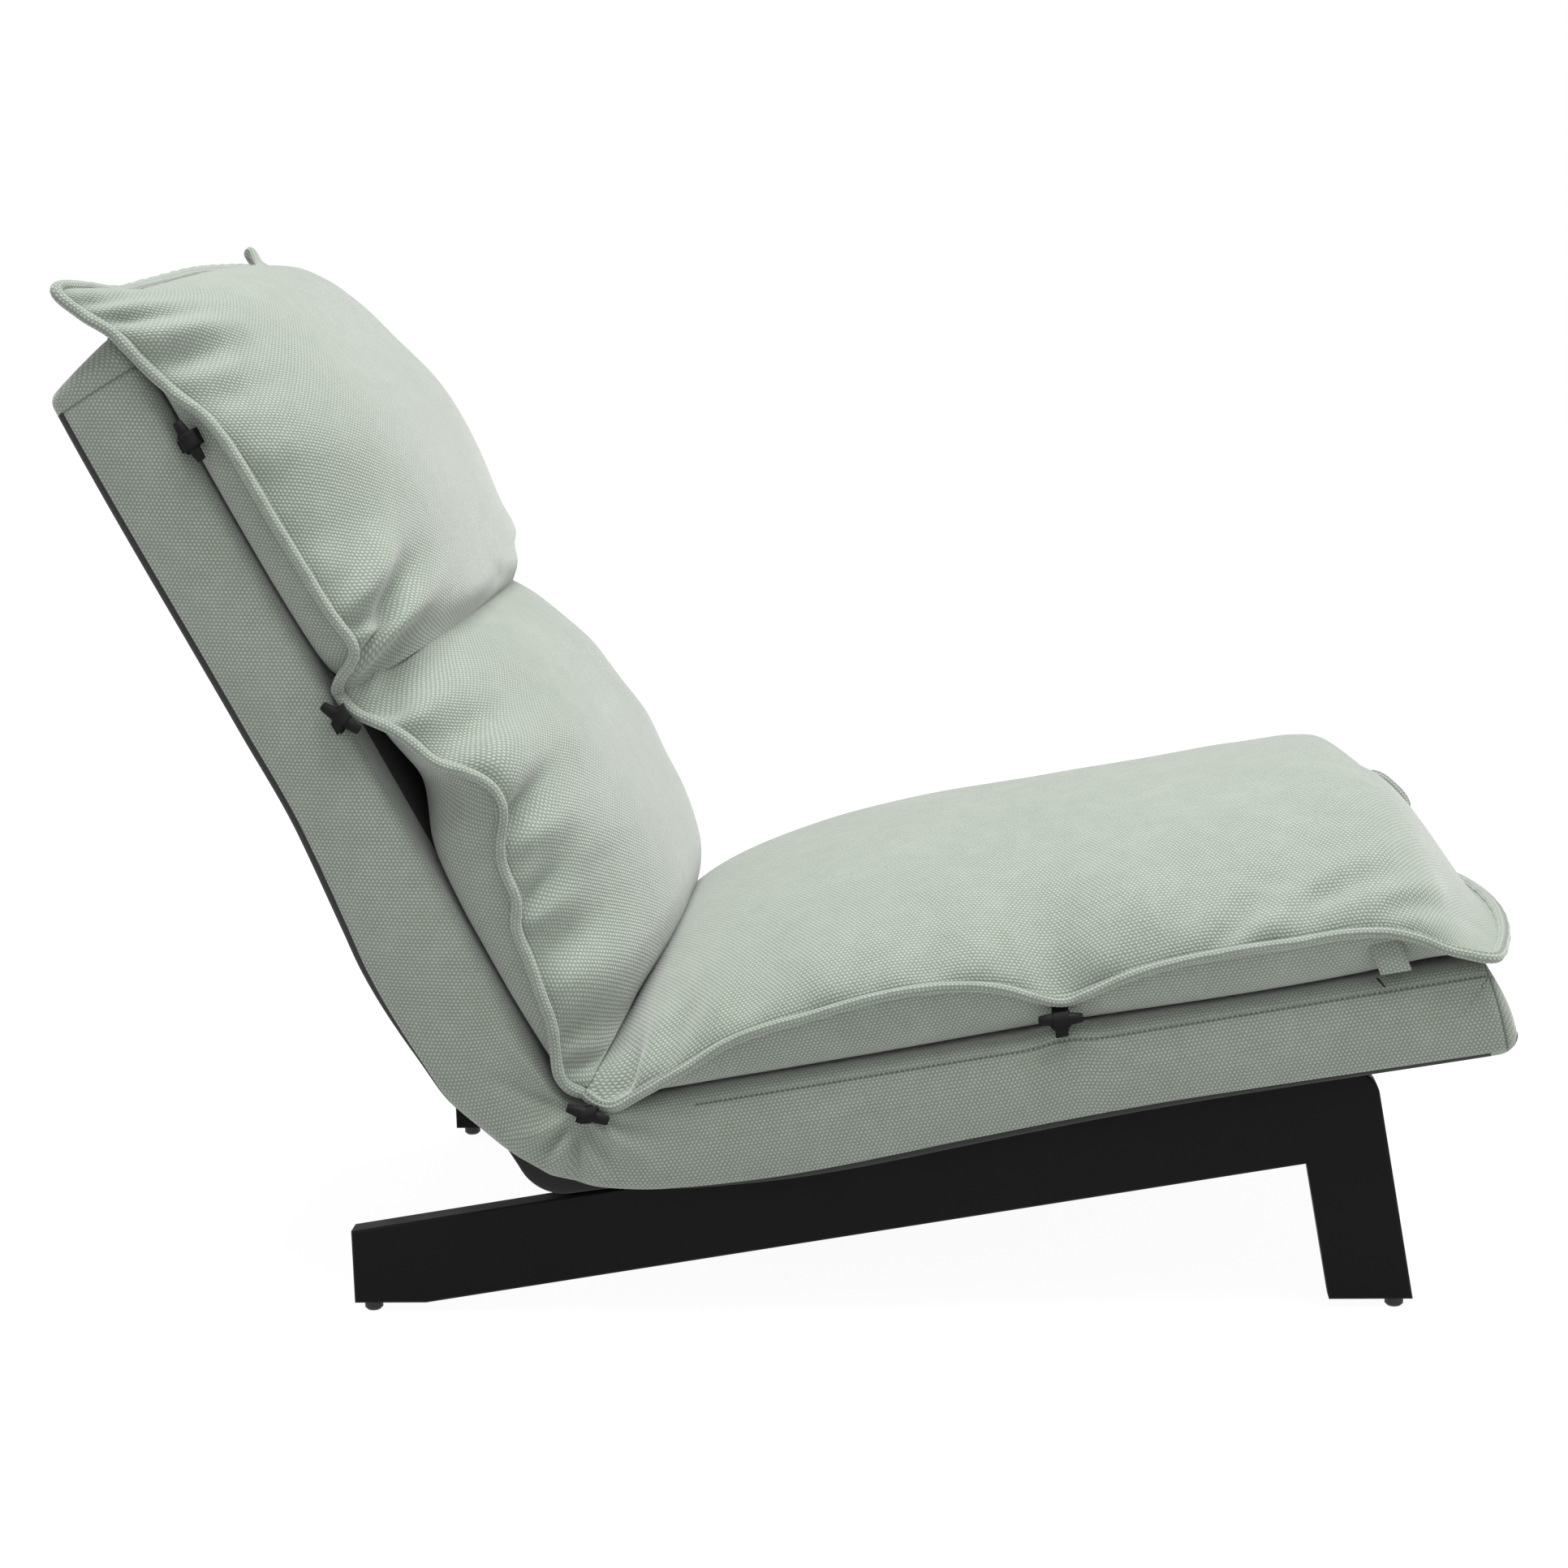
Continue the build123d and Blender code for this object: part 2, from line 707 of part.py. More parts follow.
def strap(u, height):
    """A webbing strap sewn under a cushion and round the middle of its toggle."""
    toggle_w = half_shell + height
    low = half_shell + fit
    high = low + strap_thickness
    tail_end = -(shell_half_width - strap_tuck)
    ring = Pos(toggle_y, toggle_w) * folded(strap_ring + strap_thickness)
    tail = Pos((toggle_y + tail_end) / 2, (low + high) / 2) * Rectangle(
        tail_end - toggle_y, high - low
    )
    riser = Pos(toggle_y, (low + toggle_w) / 2) * Rectangle(strap_thickness, toggle_w - low)
    outline = ring + tail + riser - Pos(toggle_y, toggle_w) * folded(strap_ring)
    outline = max(outline.faces(), key=lambda face: face.area)
    return extrude(end_view(u - strap_width / 2) * outline, strap_width)


def strap_room(u):
    """The room that a cushion leaves for a strap."""
    return block(
        u - strap_width / 2 - fit,
        u + strap_width / 2 + fit,
        -far,
        -(shell_half_width - strap_tuck) + fit,
        0,
        half_shell + strap_thickness + 3 * fit,
    )


def shell_loops(u, height):
    """Two cord loops from the shell's side seam, one on each side of the strap."""
    toggle_w = half_shell + height
    solids = []
    side = -(shell_half_width + fit)
    for offset in (-loop_offset, loop_offset):
        ring = Pos(toggle_y, toggle_w) * folded(loop_ring + loop_thickness)
        foot = half_shell - loop_drop
        tail = Pos(side - loop_thickness / 2, (foot + toggle_w) / 2) * Rectangle(
            loop_thickness, toggle_w - foot
        )
        outline = ring + tail - Pos(toggle_y, toggle_w) * folded(loop_ring)
        outline = max(outline.faces(), key=lambda face: face.area)
        solids.append(extrude(end_view(u + offset - loop_width / 2) * outline, loop_width))
    return solids


front_tab = block(
    tab_at - tab_width / 2,
    tab_at + tab_width / 2,
    -(shell_half_width + fit + cloth),
    -(shell_half_width + fit),
    half_shell - tab_drop,
    half_shell + tab_rise,
)


# Topper cushions


def cushion_section(u, seam_inset, seam, crown, drop):
    """A cushion cut across: flat below, drawn in to the seam at each side, crowned above."""
    half_width = shell_half_width - seam_inset
    base = half_shell + fit - drop
    flat = half_width - base_inset
    shoulder_y = half_width * shoulder_share
    shoulder_w = base + seam + (crown - seam) * shoulder_rise
    right = (half_width, base + seam)
    shoulder = (shoulder_y, shoulder_w)
    low = Vector((flat + half_width) / 2 + lower_bulge * 0.5, base + seam / 2 - lower_bulge * 0.5)
    high = Vector(
        (half_width + shoulder_y) / 2 + upper_bulge * 0.5,
        (base + seam + shoulder_w) / 2 + upper_bulge * 0.8,
    )
    if seam < 3 * lower_bulge:
        low = Vector((flat + half_width) / 2 + 1.0, base + seam / 2 - 1.0)
    if crown - seam < 3 * upper_bulge:
        high = Vector(
            (half_width + shoulder_y) / 2 + 1.0, (base + seam + shoulder_w) / 2 + (crown - seam) * 0.12
        )
    return end_view(u) * make_face([
        Line((-flat, base), (flat, base)),
        ThreePointArc((flat, base), (low.X, low.Y), right),
        ThreePointArc(right, (high.X, high.Y), shoulder),
        ThreePointArc(shoulder, (0, base + crown), (-shoulder_y, shoulder_w)),
        ThreePointArc((-shoulder_y, shoulder_w), (-high.X, high.Y), (-half_width, base + seam)),
        ThreePointArc((-half_width, base + seam), (-low.X, low.Y), (-flat, base)),
    ])


def cushion(stations, length):
    """A cushion lofted through its stations along a shell of a given length."""
    sections = []
    for share, seam_inset, seam, crown, drop in stations:
        sections.append(cushion_section(share * length, seam_inset, seam, crown, drop))
    return loft(sections)


fold_trim = plate(across_fold(crease_gap), -far, far)
seat_cushion = cushion(seat_cushion_stations, seat_length) - fold_trim
lumbar_cushion = cushion(lumbar_cushion_stations, back_length) - fold_trim
head_cushion = cushion(head_cushion_stations, back_length)
head_cushion -= block(0, back_length + fit, -far, far, -far, half_shell + fit)
for room in pair(strap_room(seat_toggle_at)) + pair(strap_room(crease_toggle_at)):
    seat_cushion -= room
for room in pair(strap_room(back_toggle_at)):
    lumbar_cushion -= room
for room in pair(strap_room(head_toggle_at)):
    head_cushion -= room


def both_sides(solids):
    """Solids of one side and their mirror images."""
    found = []
    for solid in solids:
        found += pair(solid)
    return found


# Every node with its solids, in the frame that it was drawn in
carry_tongue = seat_plane.location
tongue_solid = carry_tongue * hinge_tongue_at_seat + back_plane.location * tongue_plug
nodes_in_place = {
    "right_side_rail": [mirror(side_rail, about=Plane.XZ)],
    "left_side_rail": [side_rail],
    "right_front_leg": [mirror(front_leg, about=Plane.XZ)],
    "left_front_leg": [front_leg],
    "mitre_biscuits": pair(biscuit),
    "front_stretcher": [front_stretcher],
    "rear_stretcher": [rear_stretcher],
    "front_glides": pair(front_glide),
    "rear_glides": pair(rear_glide),
    "hinge_tongues": pair(tongue_solid),
}
nodes_on_seat = {
    "frame_bolts": frame_bolts,
    "seat_frame": [seat_frame],
    "seat_webbing": seat_webbing,
    "seat_pad_top": [seat_pad_top],
    "seat_pad_bottom": [seat_pad_bottom],
    "seat_cover": [seat_cover],
    "seat_top_cloth": [seat_top_cloth],
    "seat_underside_cloth": [seat_underside_cloth],
    "bend_foam": bend_foam,
    "bend_cover": pair(bend_side),
    "bend_cloth": [bend_cloth],
    "hinge_forks": pair(hinge_fork),
    "hinge_pivots": pair(hinge_pivot),
    "pawl_pins": pair(pawl_pin),
    "pawl_springs": pair(pawl_spring),
    "left_pawl": [pawl],
    "right_pawl": [mirror(pawl, about=Plane.XZ)],
    "seat_cushion": [seat_cushion],
    "seat_toggles": pair(toggle(seat_toggle_at, seat_toggle_height)),
    "seat_straps": pair(strap(seat_toggle_at, seat_toggle_height)),
    "seat_loops": both_sides(shell_loops(seat_toggle_at, seat_toggle_height)),
    "crease_toggles": pair(toggle(crease_toggle_at, crease_toggle_height)),
    "crease_straps": pair(strap(crease_toggle_at, crease_toggle_height)),
    "crease_loops": both_sides(shell_loops(crease_toggle_at, crease_toggle_height)),
    "front_tabs": pair(front_tab),
}
nodes_on_back = {
    "back_frame": [back_frame],
    "back_webbing": back_webbing,
    "back_pad_front": [back_pad_front],
    "back_pad_rear": [back_pad_rear],
    "back_cover": [back_cover],
    "back_front_cloth": [back_front_cloth],
    "back_rear_cloth": [back_rear_cloth],
    "lumbar_cushion": [lumbar_cushion],
    "head_cushion": [head_cushion],
    "back_toggles": pair(toggle(back_toggle_at, back_toggle_height)),
    "back_straps": pair(strap(back_toggle_at, back_toggle_height)),
    "back_loops": both_sides(shell_loops(back_toggle_at, back_toggle_height)),
    "head_toggles": pair(toggle(head_toggle_at, head_toggle_height)),
    "head_straps": pair(strap(head_toggle_at, head_toggle_height)),
    "head_loops": both_sides(shell_loops(head_toggle_at, head_toggle_height)),
}

placed = {}
for name, solids in nodes_in_place.items():
    placed[name] = solids
for name, solids in nodes_on_seat.items():
    placed[name] = [seat_plane.location * solid for solid in solids]
for name, solids in nodes_on_back.items():
    placed[name] = [back_plane.location * solid for solid in solids]

# The finished chair is centred over the origin
boxes = [solid.bounding_box() for solids in placed.values() for solid in solids]
rearmost = min(box.min.X for box in boxes)
foremost = max(box.max.X for box in boxes)
centring = Pos(-(rearmost + foremost) / 2, 0, 0)

os.makedirs("parts", exist_ok=True)
for name, solids in placed.items():
    pieces = []
    for solid in solids:
        pieces += (centring * solid).solids()
    export_step(Compound(children=pieces), os.path.join("parts", name + ".step"))

pawl_axis = seat_point(pawl_pin_u, pawl_pin_w)
shift = -(rearmost + foremost) / 2
print("hinge axis x, z:", round(shift, 3), round(hinge_height, 3))
print("pawl axis x, z:", round(pawl_axis.X + shift, 3), round(pawl_axis.Y, 3))
print("front glide x:", round(front_glide_x + shift, 3), "rear glide x:", round(rear_glide_x + shift, 3))
print("length:", round(foremost - rearmost, 1))
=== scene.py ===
import json
import math

import bmesh
import bpy
import numpy as np
from mathutils import Matrix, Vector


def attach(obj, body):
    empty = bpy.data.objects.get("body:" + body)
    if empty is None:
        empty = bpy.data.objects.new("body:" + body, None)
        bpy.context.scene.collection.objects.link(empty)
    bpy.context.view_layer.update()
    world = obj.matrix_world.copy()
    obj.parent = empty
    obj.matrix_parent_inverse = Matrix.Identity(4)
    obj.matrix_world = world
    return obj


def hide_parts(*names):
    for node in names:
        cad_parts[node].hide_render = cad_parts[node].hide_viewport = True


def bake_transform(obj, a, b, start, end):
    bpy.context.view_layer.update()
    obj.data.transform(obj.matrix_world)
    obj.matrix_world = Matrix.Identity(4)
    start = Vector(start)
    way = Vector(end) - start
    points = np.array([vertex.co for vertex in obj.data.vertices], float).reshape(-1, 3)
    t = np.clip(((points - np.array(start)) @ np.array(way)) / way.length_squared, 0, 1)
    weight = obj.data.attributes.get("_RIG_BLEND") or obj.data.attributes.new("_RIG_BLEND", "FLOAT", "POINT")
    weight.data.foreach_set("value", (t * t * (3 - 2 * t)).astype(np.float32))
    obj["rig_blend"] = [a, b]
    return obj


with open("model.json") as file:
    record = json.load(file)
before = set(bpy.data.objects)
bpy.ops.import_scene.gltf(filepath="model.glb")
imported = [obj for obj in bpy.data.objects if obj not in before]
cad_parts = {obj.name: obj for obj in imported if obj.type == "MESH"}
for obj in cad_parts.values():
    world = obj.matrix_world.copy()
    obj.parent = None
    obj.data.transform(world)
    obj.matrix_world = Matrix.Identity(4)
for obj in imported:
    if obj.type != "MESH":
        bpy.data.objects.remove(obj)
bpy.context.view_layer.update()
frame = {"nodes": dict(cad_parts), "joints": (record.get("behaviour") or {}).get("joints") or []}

scene = bpy.context.scene

# Places of the chair, in millimetres of its side view: the hinge, and the slopes of seat and back
hinge_joint = [joint for joint in frame["joints"] if joint["name"] == "backrest_recline"][0]
HINGE_X = hinge_joint["pos_m"][0] * 1000
HINGE_Z = hinge_joint["pos_m"][2] * 1000
SEAT_SLOPE = math.radians(9.0)
BACK_LEAN = math.radians(27.3)
FOLD = math.pi / 2 + BACK_LEAN - SEAT_SLOPE
SEAT_LENGTH = 771.0
BACK_LENGTH = 724.0
HALF_WIDTH = 295.0
HALF_THICK = 39.0


def seat_side(u, y, w):
    """Points of the seat's frame, in metres: u from the hinge along the seat, w towards the sitter."""
    u, y, w = np.broadcast_arrays(np.asarray(u, float), y, w)
    x = HINGE_X + u * math.cos(SEAT_SLOPE) - w * math.sin(SEAT_SLOPE)
    z = HINGE_Z + u * math.sin(SEAT_SLOPE) + w * math.cos(SEAT_SLOPE)
    return np.stack([x, y, z], axis=-1) * 0.001


def back_side(u, y, w):
    """Points of the back's frame, in metres: u from the hinge up the back, w towards the sitter."""
    u, y, w = np.broadcast_arrays(np.asarray(u, float), y, w)
    x = HINGE_X - u * math.sin(BACK_LEAN) + w * math.cos(BACK_LEAN)
    z = HINGE_Z + u * math.cos(BACK_LEAN) + w * math.sin(BACK_LEAN)
    return np.stack([x, y, z], axis=-1) * 0.001


def curve(stations, column, at):
    """A smooth line through one column of a list of stations, whose first column is the place."""
    places = np.array([station[0] for station in stations], float)
    values = np.array([station[column] for station in stations], float)
    at = np.clip(np.asarray(at, float), places[0], places[-1])
    gaps = np.diff(places)
    steps = np.diff(values) / gaps
    inner = (steps[1:] * gaps[:-1] + steps[:-1] * gaps[1:]) / (gaps[:-1] + gaps[1:])
    slopes = np.concatenate([steps[:1], inner, steps[-1:]])
    index = np.clip(np.searchsorted(places, at, side="right") - 1, 0, len(places) - 2)
    span = gaps[index]
    x = (at - places[index]) / span
    start = (1 + 2 * x) * (1 - x) ** 2 * values[index] + x * (1 - x) ** 2 * span * slopes[index]
    end = x * x * (3 - 2 * x) * values[index + 1] + x * x * (x - 1) * span * slopes[index + 1]
    return start + end


def smooth_step(x):
    """0 below 0, 1 above 1 and smooth between."""
    x = np.clip(x, 0.0, 1.0)
    return x * x * (3 - 2 * x)


def running_length(line):
    """Length along a line of points, from 0 at its start."""
    return np.concatenate([[0], np.cumsum(np.linalg.norm(np.diff(line, axis=0), axis=1))])


def along_line(line, length, at):
    """Points of a line at given lengths along it."""
    return np.stack([np.interp(at, length, line[:, k]) for k in range(line.shape[1])], axis=-1)


def smoothed(line, times):
    """A line of points with its short waves taken out and its ends held."""
    for _ in range(times):
        line[1:-1] = (line[:-2] + 2 * line[1:-1] + line[2:]) / 4
    return line


def placing(columns):
    """The matrix with these three directions and this place as its columns."""
    return Matrix([[float(column[row]) for column in columns] for row in range(3)] + [[0, 0, 0, 1]])


# Node helpers for the materials


class Nodes:
    """A material's node tree with short ways to add nodes."""

    def __init__(self, name):
        self.material = bpy.data.materials.new(name)
        self.material.use_nodes = True
        self.tree = self.material.node_tree
        self.tree.nodes.clear()
        self.output = self.add("ShaderNodeOutputMaterial")
        self.shader = self.add("ShaderNodeBsdfPrincipled")
        self.link(self.shader.outputs["BSDF"], self.output.inputs["Surface"])

    def add(self, kind):
        """A new node."""
        return self.tree.nodes.new(kind)

    def link(self, source, target):
        """Join two sockets."""
        self.tree.links.new(source, target)

    def feed(self, socket, value):
        """Give a socket a number, a colour or another node's output."""
        if isinstance(value, bpy.types.NodeSocket):
            self.link(value, socket)
        else:
            socket.default_value = value

    def shade(self, inputs):
        """Give the shader's inputs their numbers, colours or other nodes' outputs."""
        for name, value in inputs.items():
            self.feed(self.shader.inputs[name], value)

    def math(self, operation, first, second=0.0, third=0.0):
        """A product, sum or other combination of sockets and numbers."""
        node = self.add("ShaderNodeMath")
        node.operation = operation
        self.feed(node.inputs[0], first)
        self.feed(node.inputs[1], second)
        self.feed(node.inputs[2], third)
        return node.outputs[0]

    def ramp(self, value, low, high, low_out=0.0, high_out=1.0):
        """A value spread from one range to another, smoothly."""
        node = self.add("ShaderNodeMapRange")
        node.interpolation_type = "SMOOTHSTEP"
        self.feed(node.inputs["Value"], value)
        node.inputs["From Min"].default_value = low
        node.inputs["From Max"].default_value = high
        node.inputs["To Min"].default_value = low_out
        node.inputs["To Max"].default_value = high_out
        return node.outputs["Result"]

    def mix(self, factor, first, second):
        """A mix of two colours."""
        node = self.add("ShaderNodeMix")
        node.data_type = "RGBA"
        self.feed(node.inputs["Factor"], factor)
        self.feed(node.inputs["A"], first)
        self.feed(node.inputs["B"], second)
        return node.outputs["Result"]

    def noise(self, vector, scale, detail=2.0, roughness=0.5):
        """Noise about 0.5."""
        node = self.add("ShaderNodeTexNoise")
        self.feed(node.inputs["Vector"], vector)
        node.inputs["Scale"].default_value = scale
        node.inputs["Detail"].default_value = detail
        node.inputs["Roughness"].default_value = roughness
        return node.outputs["Fac"]

    def object_place(self):
        """The object's own coordinates."""
        return self.add("ShaderNodeTexCoord").outputs["Object"]

    def attribute(self, name):
        """A number kept on the mesh."""
        node = self.add("ShaderNodeAttribute")
        node.attribute_name = name
        return node.outputs["Fac"]

    def bump(self, height, strength, distance):
        """A bump for the shader's normal."""
        node = self.add("ShaderNodeBump")
        node.inputs["Strength"].default_value = strength
        node.inputs["Distance"].default_value = distance
        self.link(height, node.inputs["Height"])
        self.link(node.outputs["Normal"], self.shader.inputs["Normal"])


# Weave and stitches of the green cloth, in metres
WEAVE_ROW = 0.0028
WEAVE_WOBBLE = 0.0010
STITCH_LENGTH = 0.0042
GROOVE_HALF = 0.0026


def weave_material():
    """The sage green hopsack: chunky woven bumps with painted highlight and shade, brushed cloudiness and
    rows of stitches.
    """
    n = Nodes("sage_weave")
    uv = n.add("ShaderNodeUVMap")
    uv.uv_map = "weave"
    place = n.object_place()
    wobble = n.add("ShaderNodeVectorMath")
    wobble.operation = "MULTIPLY_ADD"
    noise = n.add("ShaderNodeTexNoise")
    noise.inputs["Scale"].default_value = 220.0
    noise.inputs["Detail"].default_value = 1.0
    n.link(place, noise.inputs["Vector"])
    n.link(noise.outputs["Color"], wobble.inputs[0])
    wobble.inputs[1].default_value = (WEAVE_WOBBLE, WEAVE_WOBBLE, 0.0)
    n.link(uv.outputs["UV"], wobble.inputs[2])
    axes = n.add("ShaderNodeSeparateXYZ")
    n.link(wobble.outputs["Vector"], axes.inputs["Vector"])
    across_turn = n.math("MULTIPLY", axes.outputs["Y"], math.pi / WEAVE_ROW)
    along_turn = n.math("MULTIPLY", axes.outputs["X"], math.pi * math.sqrt(3) / WEAVE_ROW)
    slants = n.math("MULTIPLY", n.math("COSINE", along_turn), n.math("COSINE", across_turn))
    rows = n.math("COSINE", n.math("MULTIPLY", across_turn, 2.0))
    weave = n.ramp(n.math("MULTIPLY_ADD", slants, 2.0, rows), -1.5, 2.6)
    fuzz = n.noise(place, 900.0, 3.0, 0.65)
    cloud = n.noise(place, 9.0, 3.0, 0.55)
    streak = n.noise(place, 55.0, 4.0, 0.6)
    # Painted highlight and painted shade: the weave's raised knots are coloured lighter and its gaps darker,
    # following the bump height; fuzz, streak and cloud add random tone
    shade = n.math("MULTIPLY_ADD", weave, 0.50, n.math("MULTIPLY", fuzz, 0.35))
    shade = n.math("ADD", shade, n.math("MULTIPLY", streak, 0.22))
    shade = n.math("ADD", shade, n.math("MULTIPLY", cloud, 0.18))
    tone = n.ramp(shade, 0.25, 1.0)
    colour = n.mix(tone, (0.162, 0.195, 0.157, 1), (0.348, 0.380, 0.339, 1))
    off_line = n.math("ABSOLUTE", n.attribute("stitch"))
    groove_and_painted_shade = n.ramp(off_line, 0.0, GROOVE_HALF, 1.0, 0.0)
    thread = n.ramp(off_line, 0.0006, 0.0011, 1.0, 0.0)
    stitches = n.math("MULTIPLY", n.attribute("run"), 2 * math.pi / STITCH_LENGTH)
    dash = n.ramp(n.math("SINE", stitches), -0.45, -0.1)
    thread = n.math("MULTIPLY", thread, dash)
    # Painted shade: the cloth is darkened along each stitch groove, the same groove that lowers the bump
    # height below; the thread itself is dark
    colour = n.mix(n.math("MULTIPLY", groove_and_painted_shade, 0.35), colour, (0.06, 0.075, 0.06, 1))
    colour = n.mix(n.math("MULTIPLY", thread, 0.6), colour, (0.035, 0.045, 0.035, 1))
    n.shade({
        "Base Color": colour, "Roughness": 0.92, "Specular IOR Level": 0.25, "Sheen Weight": 0.55,
        "Sheen Roughness": 0.45, "Sheen Tint": (1.0, 0.99, 0.99, 1),
    })
    height = n.math("ADD", weave, n.math("MULTIPLY", fuzz, 0.5))
    height = n.math("SUBTRACT", height, n.math("MULTIPLY", groove_and_painted_shade, 1.6))
    n.bump(height, 0.55, 0.0010)
    return n.material


def paint_material():
    """Satin black paint over wood, with a trace of the grain and of brushing."""
    n = Nodes("black_paint")
    place = n.object_place()
    stretch = n.add("ShaderNodeMapping")
    stretch.inputs["Rotation"].default_value = (0, SEAT_SLOPE, 0)
    stretch.inputs["Scale"].default_value = (0.06, 1, 1)
    n.link(place, stretch.inputs["Vector"])
    grain = n.noise(stretch.outputs["Vector"], 420.0, 5.0, 0.6)
    patch = n.noise(place, 14.0, 3.0, 0.5)
    n.shade({
        "Base Color": n.mix(patch, (0.0040, 0.0040, 0.0042, 1), (0.0075, 0.0074, 0.0072, 1)),
        "Roughness": n.ramp(patch, 0.3, 0.7, 0.50, 0.62), "Specular IOR Level": 0.10,
    })
    n.bump(grain, 0.18, 0.0006)
    return n.material


def cloth_material():
    """Thin black non-woven cloth with its pressed dots."""
    n = Nodes("black_nonwoven")
    place = n.object_place()
    cells = n.add("ShaderNodeTexVoronoi")
    cells.inputs["Scale"].default_value = 420.0
    n.link(place, cells.inputs["Vector"])
    dots = n.ramp(cells.outputs["Distance"], 0.1, 0.5)
    felt = n.noise(place, 700.0, 4.0, 0.7)
    n.shade({
        "Base Color": n.mix(felt, (0.007, 0.007, 0.0075, 1), (0.019, 0.019, 0.020, 1)),
        "Roughness": 0.95, "Sheen Weight": 0.08,
    })
    n.bump(n.math("ADD", dots, felt), 0.35, 0.0005)
    return n.material


def webbing_material():
    """Black ribbed strap."""
    n = Nodes("black_webbing")
    place = n.object_place()
    ribs = n.add("ShaderNodeTexWave")
    ribs.bands_direction = "DIAGONAL"
    ribs.inputs["Scale"].default_value = 300.0
    ribs.inputs["Distortion"].default_value = 1.0
    n.link(place, ribs.inputs["Vector"])
    felt = n.noise(place, 900.0, 3.0, 0.6)
    n.shade({
        "Base Color": n.mix(felt, (0.005, 0.005, 0.005, 1), (0.013, 0.013, 0.013, 1)),
        "Roughness": 0.85, "Specular IOR Level": 0.15,
    })
    n.bump(n.math("ADD", ribs.outputs["Fac"], felt), 0.4, 0.0005)
    return n.material


def toggle_material():
    """Black moulded plastic with a faint grain."""
    n = Nodes("black_plastic")
    grain = n.noise(n.object_place(), 1500.0, 3.0, 0.6)
    n.shade({
        "Base Color": n.mix(grain, (0.006, 0.006, 0.006, 1), (0.014, 0.014, 0.014, 1)),
        "Roughness": 0.55, "Specular IOR Level": 0.08,
    })
    n.bump(grain, 0.15, 0.0003)
    return n.material


def plain_material(name, dark, light, roughness, metallic=0.0):
    """A finish of two near colours with a fine grain."""
    n = Nodes(name)
    place = n.object_place()
    patch = n.noise(place, 60.0, 4.0, 0.6)
    fine = n.noise(place, 840.0, 3.0, 0.6)
    n.shade({
        "Base Color": n.mix(patch, dark, light), "Metallic": metallic,
        "Roughness": n.ramp(fine, 0.3, 0.7, roughness - 0.08, roughness + 0.08),
    })
    n.bump(fine, 0.12, 0.0004)
    return n.material


weave = weave_material()
paint = paint_material()
nonwoven = cloth_material()
strap_cloth = webbing_material()
plastic = toggle_material()
glide_plastic = plain_material("glide_plastic", (0.008, 0.008, 0.008, 1), (0.016, 0.016, 0.016, 1), 0.55)
steel = plain_material("zinc_steel", (0.42, 0.43, 0.45, 1), (0.58, 0.59, 0.61, 1), 0.38, 1.0)
birch = plain_material("biscuit_wood", (0.45, 0.30, 0.16, 1), (0.62, 0.44, 0.26, 1), 0.7)

# Mesh helpers: every skin starts as a bmesh grid that is laid on rows and columns of points
MERGE_GAP = 0.00002
BAND_ROWS = 40
BAND_COLUMNS = 7


def new_work():
    """An empty bmesh with places for the weave, the distance to a stitch line and the run along it."""
    work = bmesh.new()
    work.loops.layers.uv.new("weave")
    work.verts.layers.float.new("stitch")
    work.verts.layers.float.new("run")
    return work


def lay_grid(work, points):
    """Lay a bmesh grid on rows by columns of points; returns each vertex's row and column."""
    rows, columns = points.shape[:2]
    made = bmesh.ops.create_grid(work, x_segments=rows - 1, y_segments=columns - 1, size=0.5)["verts"]
    spots = {}
    for vert in made:
        row = round((vert.co.x + 0.5) * (rows - 1))
        column = round((vert.co.y + 0.5) * (columns - 1))
        spots[vert] = (row, column)
        vert.co = points[row, column]
    return spots


def lay_skin(work, points, uv, stitch=None, run=None, material=None):
    """Lay a smooth skin on rows by columns of points, with its weave and stitches; returns its faces."""
    spots = lay_grid(work, points)
    weave_layer = work.loops.layers.uv["weave"]
    stitch_layer = work.verts.layers.float["stitch"]
    run_layer = work.verts.layers.float["run"]
    for vert, spot in spots.items():
        vert[stitch_layer] = 1.0 if stitch is None else stitch[spot]
        vert[run_layer] = 0.0 if run is None else run[spot]
    faces = {face for vert in spots for face in vert.link_faces}
    for face in faces:
        face.smooth = True
        corners = [spots[loop.vert] for loop in face.loops]
        for loop, spot in zip(face.loops, corners):
            loop[weave_layer].uv = uv[spot]
        if material is not None:
            row = min(spot[0] for spot in corners)
            column = min(spot[1] for spot in corners)
            face.material_index = material(row, column)
    return list(faces)


def as_object(name, work):
    """The bmesh as an object of the scene."""
    mesh = bpy.data.meshes.new(name)
    work.to_mesh(mesh)
    work.free()
    made = bpy.data.objects.new(name, mesh)
    scene.collection.objects.link(made)
    return made


def finish_piece(name, work, materials):
    """The bmesh, with its doubles merged and turned outwards, as a piece of the chair."""
    bmesh.ops.remove_doubles(work, verts=work.verts, dist=MERGE_GAP)
    bmesh.ops.recalc_face_normals(work, faces=work.faces)
    piece = as_object(name, work)
    for material in materials:
        piece.data.materials.append(material)
    return piece


def surface_lengths(points):
    """Lengths along the rows and along the columns of a grid of points, as weave coordinates."""
    down = np.cumsum(np.linalg.norm(np.diff(points, axis=0, prepend=points[:1]), axis=2), axis=0)
    across = np.cumsum(np.linalg.norm(np.diff(points, axis=1, prepend=points[:, :1]), axis=2), axis=1)
    middle = across[:, points.shape[1] // 2]
    return np.stack([down, across - middle[:, None]], axis=-1)


def cloth_lengths(points):
    """Weave coordinates of a cushion's face: one length for each row, and lengths across from the middle."""
    steps = np.median(np.linalg.norm(np.diff(points, axis=0), axis=2), axis=1)
    down = np.concatenate([[0], np.cumsum(steps)])
    across = surface_lengths(points)[..., 1]
    return np.stack([np.broadcast_to(down[:, None], across.shape), across], axis=-1)


